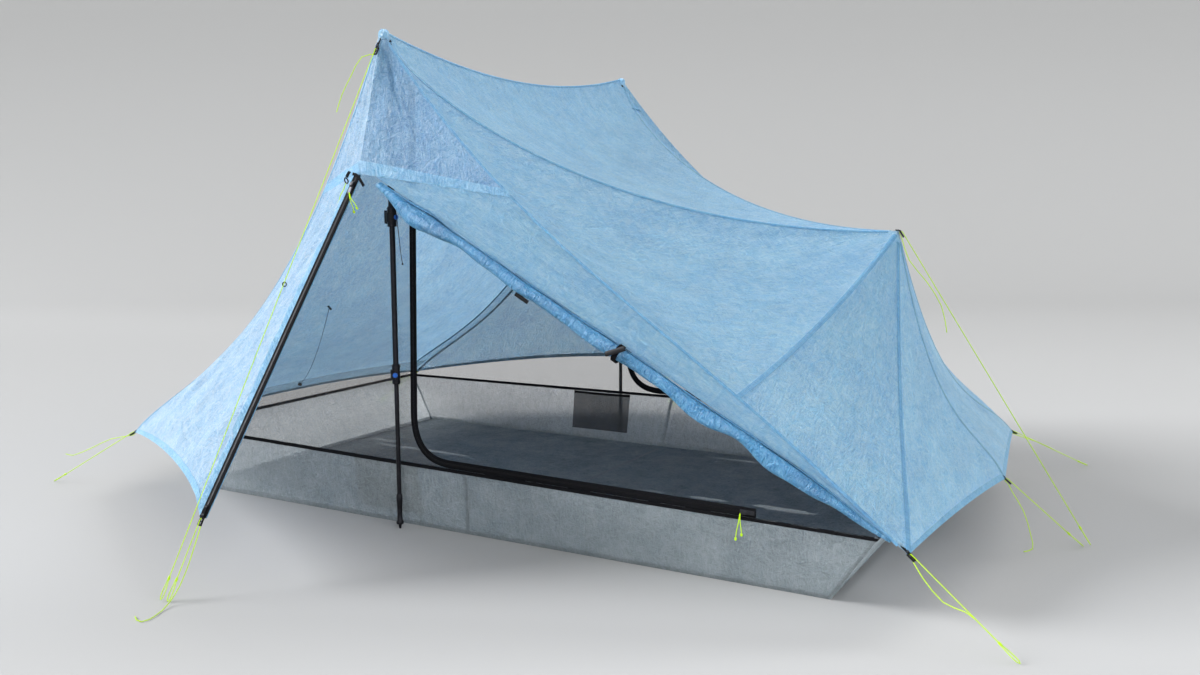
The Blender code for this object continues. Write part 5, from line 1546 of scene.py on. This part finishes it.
# %% Where the guylines run
CORD_RADIUS, LOCK_TURN, LOOP_LENGTH, LOOP_WIDTH = 0.00105, 0.0042, 0.055, 0.011
LOOP_SHARES = [(0.30, 0.55), (0.75, 1.0), (1.0, 0.0), (0.75, -1.0), (0.30, -0.55), (0.06, -0.5)]
GUYLINE_ENDS = {
    "guyline_peak_front": ((-0.292, -1.362, 0.004),
                           [(-0.203, -0.722, 1.290), (-0.235, -0.728, 1.245),
                            (-0.267, -0.732, 1.195), (-0.285, -0.735, 1.150)]),
    "guyline_door_front": ((-0.271, -1.360, 0.003),
                           [(-0.261, -1.300, 0.085), (-0.257, -1.335, 0.035),
                            (-0.250, -1.375, 0.006), (-0.225, -1.430, 0.002),
                            (-0.223, -1.468, 0.002), (-0.260, -1.455, 0.002)]),
    "guyline_head_front": ((-1.502, -0.808, 0.003),
                           [(-1.275, -0.752, 0.158), (-1.345, -0.775, 0.125),
                            (-1.410, -0.796, 0.098), (-1.438, -0.803, 0.101)]),
    "guyline_foot_front": ((1.490, -0.774, 0.003),
                           [(1.285, -0.724, 0.128), (1.333, -0.745, 0.090),
                            (1.380, -0.764, 0.085), (1.402, -0.771, 0.076)]),
    "guyline_end_centre": ((1.527, 0.078, 0.003),
                           [(1.355, -0.008, 0.150), (1.385, 0.004, 0.096),
                            (1.405, 0.010, 0.030), (1.412, -0.005, 0.003),
                            (1.395, -0.040, 0.002)]),
    "guyline_end_peak": ((1.542, 0.098, 0.004),
                         [(1.067, -0.006, 0.752), (1.115, -0.004, 0.695),
                          (1.155, 0.002, 0.630), (1.171, 0.004, 0.560)]),
    "guyline_foot_back": ((1.450, 1.042, 0.003),
                          [(1.283, 0.745, 0.140), (1.317, 0.800, 0.118),
                           (1.356, 0.866, 0.086)]),
}
# Three of the back's lines mirror the front's.
for corner in ("head", "door", "peak"):
    stake, tail = GUYLINE_ENDS[f"guyline_{corner}_front"]
    GUYLINE_ENDS[f"guyline_{corner}_back"] = (place(stake, -1), [place(spot, -1) for spot in tail])


def curve_through(points, steps):
    """A smooth curve through a route's points."""
    result = [points[0]]
    for k in range(len(points) - 1):
        before, one = points[max(k - 1, 0)], points[k]
        two, after = points[k + 1], points[min(k + 2, len(points) - 1)]
        span = (two - one).length
        start_pull, end_pull = (two - before).normalized() * span, (after - one).normalized() * span
        for step in range(1, steps[k] + 1):
            s = step / steps[k]
            result.append((2 * s ** 3 - 3 * s ** 2 + 1) * one + (s ** 3 - 2 * s ** 2 + s) * start_pull
                          + (3 * s ** 2 - 2 * s ** 3) * two + (s ** 3 - s ** 2) * end_pull)
    return result


def guyline_route(seat, space, stake, tail):
    """A guyline's points from its tail to its stake loop, its knot's place and its direction."""
    along = (stake - seat).normalized()
    below = (DOWN - along * DOWN.dot(along)).normalized()
    aside = along.cross(below)
    centre = seat + along * (space + CORD_RADIUS + LOCK_TURN)
    turn = [centre + below * LOCK_TURN, centre - along * LOCK_TURN, centre - below * LOCK_TURN]
    run_start = turn[-1] + along * LOCK_TURN * 2
    knot = stake - along * LOOP_LENGTH
    loop = [knot + along * (LOOP_LENGTH * share) + aside * LOOP_WIDTH / 2 * swing
            for share, swing in LOOP_SHARES]
    route = [*tail[::-1], turn[0] + along * LOCK_TURN * 2, *turn, run_start, knot, *loop]
    steps = [2] * len(tail) + [1, 2, 2, 1, 1] + [1] + [2] * (len(loop) - 1)
    return curve_through(route, steps), knot, along, centre, below


print("guylines", len(GUYLINE_ENDS))

# %% [markdown]
# A cord is a round tube that turns as little as possible on its way, so it never pinches. A
# knot is a short winding, and a cord lock is a frame of bars joined by a Remesh modifier.

# %% Cords, knots and locks
def tube(name, points, radius, material, sides=10):
    """A round cord along a route, turned as little as possible on its way."""
    direction = (points[1] - points[0]).normalized()
    side = direction.orthogonal().normalized()
    sides_along = []
    for k in range(len(points)):
        along = direction_at(points, k)
        side = (side - along * side.dot(along)).normalized()
        sides_along.append((side, along.cross(side)))

    def outline(index, point):
        side, over = sides_along[index]
        return [point + (side * math.cos(a) + over * math.sin(a)) * radius
                for a in (2 * math.pi * k / sides for k in range(sides))]

    return sweep(name, points, outline, material, angle=80)


def wound(centre, along, radius, turns, pitch):
    """Points of a winding round a line."""
    steps = 14
    side = along.orthogonal().normalized()
    over = along.cross(side)
    points = []
    for k in range(int(turns * steps) + 1):
        angle = 2 * math.pi * k / steps
        points.append(centre + along * pitch * (angle / (2 * math.pi) - turns / 2)
                      + (side * math.cos(angle) + over * math.sin(angle)) * radius)
    return points


def bar_frame(name, centre, along, facing, length, width, thickness):
    """A small moulded frame of two long sides and three cross bars, as on a strap or cord lock."""
    bar, voxel = 0.0032, 0.0006
    side = along.cross(facing).normalized()
    facing = side.cross(along).normalized()
    bm = bmesh.new()
    bars = [(0, -width / 2 + bar / 2, length, bar), (0, width / 2 - bar / 2, length, bar)]
    bars += [(x * (length / 2 - bar / 2), 0, bar, width) for x in (-1, 0, 1)]
    for x, y, long, wide in bars:
        made = bmesh.ops.create_cube(bm, size=1.0)
        for vert in made["verts"]:
            vert.co = (centre + along * (x + vert.co.x * long) + side * (y + vert.co.y * wide)
                       + facing * vert.co.z * thickness)
    mesh = bpy.data.meshes.new(name)
    bmesh.ops.recalc_face_normals(bm, faces=bm.faces)
    bm.to_mesh(mesh)
    bm.free()
    mesh.materials.append(materials["lock_plastic"])
    piece = link(bpy.data.objects.new(name, mesh))
    remesh = piece.modifiers.new("join", "REMESH")
    remesh.mode, remesh.voxel_size = "VOXEL", voxel
    evaluated = piece.evaluated_get(bpy.context.evaluated_depsgraph_get())
    solid = bpy.data.meshes.new_from_object(evaluated)
    solid.shade_smooth()
    result = link(bpy.data.objects.new(name + "_moulded", solid))
    bpy.data.objects.remove(piece)
    result.name = name
    return result



# %% [markdown]
# Each guyline is laid from its seat to the ground. Its real length is measured along the cord.

# %% Ten guylines
PEAK_TAB_SHARE = 0.24
lengths = []
corner_spots = {}
for name, side in SIDES.items():
    fold = panels[f"beak_{name}"][7][12]
    tab = place(PEAK, side).lerp(fold, PEAK_TAB_SHARE)
    # Each line has its seat on the canopy and the gap from there to the cord's turn.
    seats = {f"guyline_peak_{name}": (tab + Vector((0, side * 0.0040, 0)), 0.0008),
             f"guyline_door_{name}": (place(DOOR_FOOT, side), 0.0008),
             f"guyline_head_{name}": (place(HEAD_CORNER, side), -0.0005),
             f"guyline_foot_{name}": (place(FOOT_CORNER, side), -0.0009)}
    if side == FRONT:
        seats["guyline_end_peak"] = (place(FOOT_PEAK, side) + Vector((0.0034, 0, 0)), 0.0008)
        seats["guyline_end_centre"] = (place(END_CENTRE, side), -0.0003)
    for cord_name, (seat, space) in seats.items():
        stake, tail = GUYLINE_ENDS[cord_name]
        tail = [Vector(p) for p in tail]
        points, knot, along, centre, below = guyline_route(seat, space, Vector(stake), tail)
        cord = tube(f"{cord_name}_cord", points, CORD_RADIUS, "cord_braid")
        knot_piece = tube(f"{cord_name}_knot", wound(knot + along * 0.004, along, 0.0021, 3.5, 0.0021),
                          0.0010, "cord_braid", 8)
        ride_as(cord, "tent", "cord", cord_name)
        ride_as(knot_piece, "tent", "cord")
        lock = bar_frame(f"{cord_name}_lock", centre + along * 0.004, along, below, 0.021, 0.013, 0.0042)
        ride_as(lock, "tent", "lever")
        lengths.append((cord_name, round(run_length(points), 3)))
        corner_spots[cord_name] = (seat, along, centre, below)
print("guylines", lengths)

# %% [markdown]
# Small fittings finish the tent. First come the webbing tabs that hold the cord locks to the
# canopy. Each is a flat strap with two rows of stitches across it.

# %% Webbing tabs
def strap(name, points, facing, width, thickness, material="webbing_weave", slot="tub"):
    """A flat strap along a route, facing one way."""
    section = tape_section(points, Vector(facing).normalized(), width, thickness)
    return ride_as(sweep(name, points, section, material), "tent", slot)


for cord_name, (seat, along, centre, below) in corner_spots.items():
    up = -below
    back = Vector((1, 0, 0)) if cord_name == "guyline_end_peak" else along
    reach = 0.014 if cord_name == "guyline_end_peak" else 0.030
    route = [seat - back * reach + up * 0.0030, seat - back * 0.006 + up * 0.0026, seat + up * 0.0020,
             centre - along * 0.0015 + up * 0.0012]
    strap(f"{cord_name}_tab", route, up, 0.010, 0.0018)
    aside = along.cross(up)
    for index, distance in enumerate((reach - 0.004, 0.006)):
        spot = seat - back * distance + up * 0.0039
        row = [spot - aside * 0.0044, spot + aside * 0.0044]
        stitches = blocks_along(f"{cord_name}_tab_stitches_{index}", row, 0.0011, (0.0006, 0.0040, 0.0005),
                                up, "cord_thread")
        ride_as(stitches, "tent", "tub")
print("webbing tabs", len(corner_spots))

# %% [markdown]
# Two short cords with a knot hang from every zip slider. They ride with it, and hang free but
# for the closed back door's, which lie along its slope.

# %% Pull cords
PULL_RADIUS = 0.0011
PULL_SHARES = ((0, 0, 0.001), (0.35, 0.3, 0.004), (0.7, 0.8, 0.003), (1, 1, 0.002))


def pull_cord(name, route, body):
    """A short free cord with a knot at its end."""
    points = curve_through([Vector(p) for p in route], [4] * (len(route) - 1))
    cord = tube(name, points, PULL_RADIUS, "cord_braid")
    along = (points[-1] - points[-2]).normalized()
    turns = wound(points[-1] - along * 0.004, along, PULL_RADIUS * 1.9, 2.5, PULL_RADIUS * 2)
    knot = tube(f"{name}_knot", turns, PULL_RADIUS * 0.9, "cord_braid", 8)
    ride_as(cord, body, "cord")
    ride_as(knot, body, "cord")


def pull_pair(kind, name, spot, lay, ends):
    """A slider's two pull cords, from how far aside each one ends and how long it is."""
    for index, (x, length) in enumerate(ends):
        route = [spot + lay * length * share + Vector((x * aside, SIDES[name] * out, 0))
                 for share, aside, out in PULL_SHARES]
        pull_cord(f"{kind}_pull_{name}_{index}", route, f"{name}_{kind}_slider")


for name, side in SIDES.items():
    low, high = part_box(f"zip_slider_door_{name}")
    x = high.x - 0.0034 if name == "front" else (low.x + high.x) / 2
    spot = Vector((x, low.y if side == FRONT else high.y, low.z + 0.004))
    ends = ((0.016, 0.054), (0.027, 0.044)) if name == "front" else ((-0.004, 0.060), (0.007, 0.050))
    lay = DOWN if name == "front" else (place(DOOR_FOOT, side) - place(BEAK_TIP, side)).normalized()
    pull_pair("door", name, spot, lay, ends)
    low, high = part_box(f"zip_slider_screen_{name}")
    x = low.x + 0.003 if name == "front" else (low.x + high.x) / 2
    spot = Vector((x, low.y if side == FRONT else high.y, low.z + 0.003))
    pull_pair("screen", name, spot, DOWN, ((-0.010, 0.066), (0.005, 0.054)))


print("pull cords made")

# %% [markdown]
# A ring hangs at the front beak, another sits on the front peak's guyline, and a loop with a
# toggle holds the rolled door. A torus would do for the rings, but one section carried round
# an axis makes the flat loop as well.

# %% Rings, loop and toggles
RING_STEPS, PEAK_RING_DISTANCE = 48, 0.6762


def ring_round(name, centre, axis, section, material, slot="lever"):
    """A ring about an axis, from its section's points: distance from the axis and along it."""
    side = axis.orthogonal().normalized()
    over = axis.cross(side)
    bm = bmesh.new()
    rings = []
    for k in range(RING_STEPS):
        angle = 2 * math.pi * k / RING_STEPS
        ray = side * math.cos(angle) + over * math.sin(angle)
        rings.append([bm.verts.new(centre + ray * radius + axis * rise) for radius, rise in section])
    bridge(bm, rings + rings[:1])
    return ride_as(mesh_object(name, bm, material), "tent", slot)


def round_section(radius, thickness):
    """The section of a ring of round wire."""
    return [(radius + thickness * math.cos(a), thickness * math.sin(a))
            for a in (2 * math.pi * k / 10 for k in range(10))]


ring_spot = Vector((-0.232, -0.764, 0.968))
ring_round("beak_ring_front", ring_spot, Vector((0.25, 0.9, 0.3)).normalized(), round_section(0.0075, 0.0017),
           "lock_plastic")
strap("beak_ring_tab", [Vector((-0.226, -0.757, 0.992)), Vector((-0.228, -0.762, 0.984)),
                        Vector((-0.231, -0.764, 0.9765))], (0.2, -0.95, 0.2), 0.009, 0.0016)
pull_cord("beak_ring_cord", [(-0.232, -0.7665, 0.961), (-0.236, -0.771, 0.945), (-0.243, -0.777, 0.928),
                             (-0.246, -0.781, 0.905)], "tent")
seat, along, centre, below = corner_spots["guyline_peak_front"]
ring_spot = centre + along * PEAK_RING_DISTANCE
ring_round("guyline_peak_ring", ring_spot, Vector((0.9, -0.35, 0.1)).normalized(),
           round_section(0.0052, 0.0013), "lock_plastic", slot="cord")
strap("zip_garage_front", [Vector((-0.199, -0.775, 0.985)), Vector((-0.186, -0.779, 0.983)),
                           Vector((-0.172, -0.780, 0.972)), Vector((-0.160, -0.778, 0.953))],
      (0, -1, 0.2), 0.008, 0.0018)

foot_corner, tip = place(FOOT_CORNER, FRONT), place(BEAK_TIP, FRONT)
roll_axis = (tip - foot_corner).normalized()
spot = foot_corner.lerp(tip, 0.475)
band = [(0.0205, -0.0065), (0.0228, -0.0065), (0.0228, 0.0065), (0.0205, 0.0065)]
ring_round("door_roll_loop", spot, roll_axis, band, "webbing_weave", slot="tub")
strap("door_roll_loop_toggle", [spot + Vector((-0.022, -0.0235, 0.001)), spot + Vector((0, -0.0255, 0.0080)),
                                spot + Vector((0.030, -0.0250, 0.0175))], (0, -1, 0.2), 0.012, 0.0050,
      "lock_plastic", slot="lever")
spot = foot_corner.lerp(tip, 0.660) + Vector((0, 0.004, -0.030))
strap("door_toggle_bar", [spot + roll_axis * -0.020, spot, spot + roll_axis * 0.020], (0, -1, 0.2), 0.0095,
      0.0050, "lock_plastic", slot="lever")
strap("door_toggle_tab", [spot + Vector((0, -0.001, 0.0150)), spot + Vector((0, -0.001, 0.004))], (0, -1, 0),
      0.009, 0.0015)
print("rings and toggles made")

# %% [markdown]
# Two thin black cords are left. One ties up the head netting, between a toggle and a clip,
# and one hangs beside the front pole.

# %% Thin black cords
def nearest(rows, spot):
    """A grid's point that is nearest to a place."""
    return min((p for row in rows for p in row), key=lambda p: (p - Vector(spot)).length)


THIN_RADIUS = 0.0009
start = nearest(panels["canopy_head"], (-0.585, -0.426, 0.54)) + Vector((0.007, 0.004, -0.007))
end = nearest(nets["mesh_head"], (-1.035, -0.069, 0.213)) + Vector((0.006, 0, 0.004))
points = hang(start, end, 0.040, 24)
tie = ride_as(tube("head_tie_cord", points, THIN_RADIUS, "thin_black_cord", 8), "tent", "cord")
across = Vector((0.016, -0.010, -0.004))
toggle = ride_as(tube("head_tie_toggle", [start - across, start, start + across], 0.0034, "lock_plastic", 10),
                 "tent", "lever")
clip = ride_as(bar_frame("head_tie_clip", end, (start - end).normalized(), Vector((0.4, 0, 1)).normalized(),
                         0.022, 0.014, 0.0042), "tent", "lever")
spots = ((-0.1475, -0.668, 0.893), (-0.142, -0.670, 0.860), (-0.136, -0.671, 0.815), (-0.131, -0.670, 0.765),
         (-0.128, -0.669, 0.745))
points = curve_through([Vector(p) for p in spots], [5] * 4)
side_cord = ride_as(tube("pole_side_cord", points, THIN_RADIUS, "thin_black_cord", 8), "tent", "cord")
turns = wound(points[-1], UP, 0.0017, 2.5, 0.0018)
knot = ride_as(tube("pole_side_cord_knot", turns, THIN_RADIUS, "thin_black_cord", 8), "tent", "cord")
print("thin cords made")

# %% [markdown]
# The tent stands on a plain pale floor that curves up into a backdrop, as in a studio, so no
# edge shows behind it from the camera's place.

# %% Floor and backdrop
def stage_material(name, colour):
    """A matt material of one pale colour."""
    material = bpy.data.materials.new(name)
    material.use_nodes = True
    tree = material.node_tree
    shader = tree.nodes["Principled BSDF"]
    shader.inputs["Base Color"].default_value = (*colour, 1)
    shader.inputs["Roughness"].default_value = 0.9
    return material


def make_stage():
    """A floor that curves up into a backdrop, square to the camera."""
    near, far, bend, height, half_width = -14.0, 6.0, 3.0, 12.0, 16.0
    bm = bmesh.new()
    profile = [(x, 0.0) for x in (near, -6.0, -2.0, 2.0, far)]
    profile += [(far + bend * math.sin(a), bend - bend * math.cos(a))
                for a in (math.pi / 2 * k / 12 for k in range(1, 13))] + [(far + bend, height)]
    heading = math.radians(CAMERA_HEADING)
    away = Vector((-math.sin(heading), math.cos(heading), 0))
    across = Vector((math.cos(heading), math.sin(heading), 0))
    rows = [[bm.verts.new(away * y + across * x + Vector((0, 0, z))) for x in (-half_width, half_width)]
            for y, z in profile]
    for one, two in zip(rows, rows[1:]):
        bm.faces.new([one[0], one[1], two[1], two[0]])
    mesh = bpy.data.meshes.new("floor_and_backdrop")
    bmesh.ops.recalc_face_normals(bm, faces=bm.faces)
    bm.to_mesh(mesh)
    bm.free()
    mesh.shade_smooth()
    mesh.materials.append(stage_material("pale_paper", (0.37, 0.365, 0.35)))
    return link(bpy.data.objects.new("floor_and_backdrop", mesh))


make_stage()
print("floor and backdrop made")

# %% [markdown]
# Four soft lamps light the tent, one of them strong and from the left, and a pale sky fills
# the shadows. Sun lamps light a large tent as evenly at its far end as at its near one.

# %% Lamps and sky
LAMP_COLOUR = (0.93, 0.95, 1.0)


def soft_sun(name, from_where, power, spread):
    """A far soft lamp that shines from a direction."""
    data = bpy.data.lights.new(name, "SUN")
    data.energy, data.angle, data.color = power, math.radians(spread), LAMP_COLOUR
    lamp = link(bpy.data.objects.new(name, data))
    lamp.rotation_mode = "QUATERNION"
    lamp.rotation_quaternion = (-Vector(from_where)).to_track_quat("-Z", "Y")


soft_sun("key_lamp", (-1.0, -0.45, 0.56), 5.5, 26)
soft_sun("fill_lamp", (0.90, -0.25, 0.55), 2.1, 60)
soft_sun("front_lamp", (0.30, -0.95, 0.22), 1.1, 40)
soft_sun("back_lamp", (0.0, 0.80, 0.55), 4.6, 50)
world = bpy.data.worlds.new("pale_sky")
bpy.context.scene.world = world
world.use_nodes = True
world.node_tree.nodes["Background"].inputs["Color"].default_value = (0.93, 0.96, 1.0, 1)
world.node_tree.nodes["Background"].inputs["Strength"].default_value = 0.5
bpy.context.scene.view_settings.view_transform = "Standard"
print("lamps made")
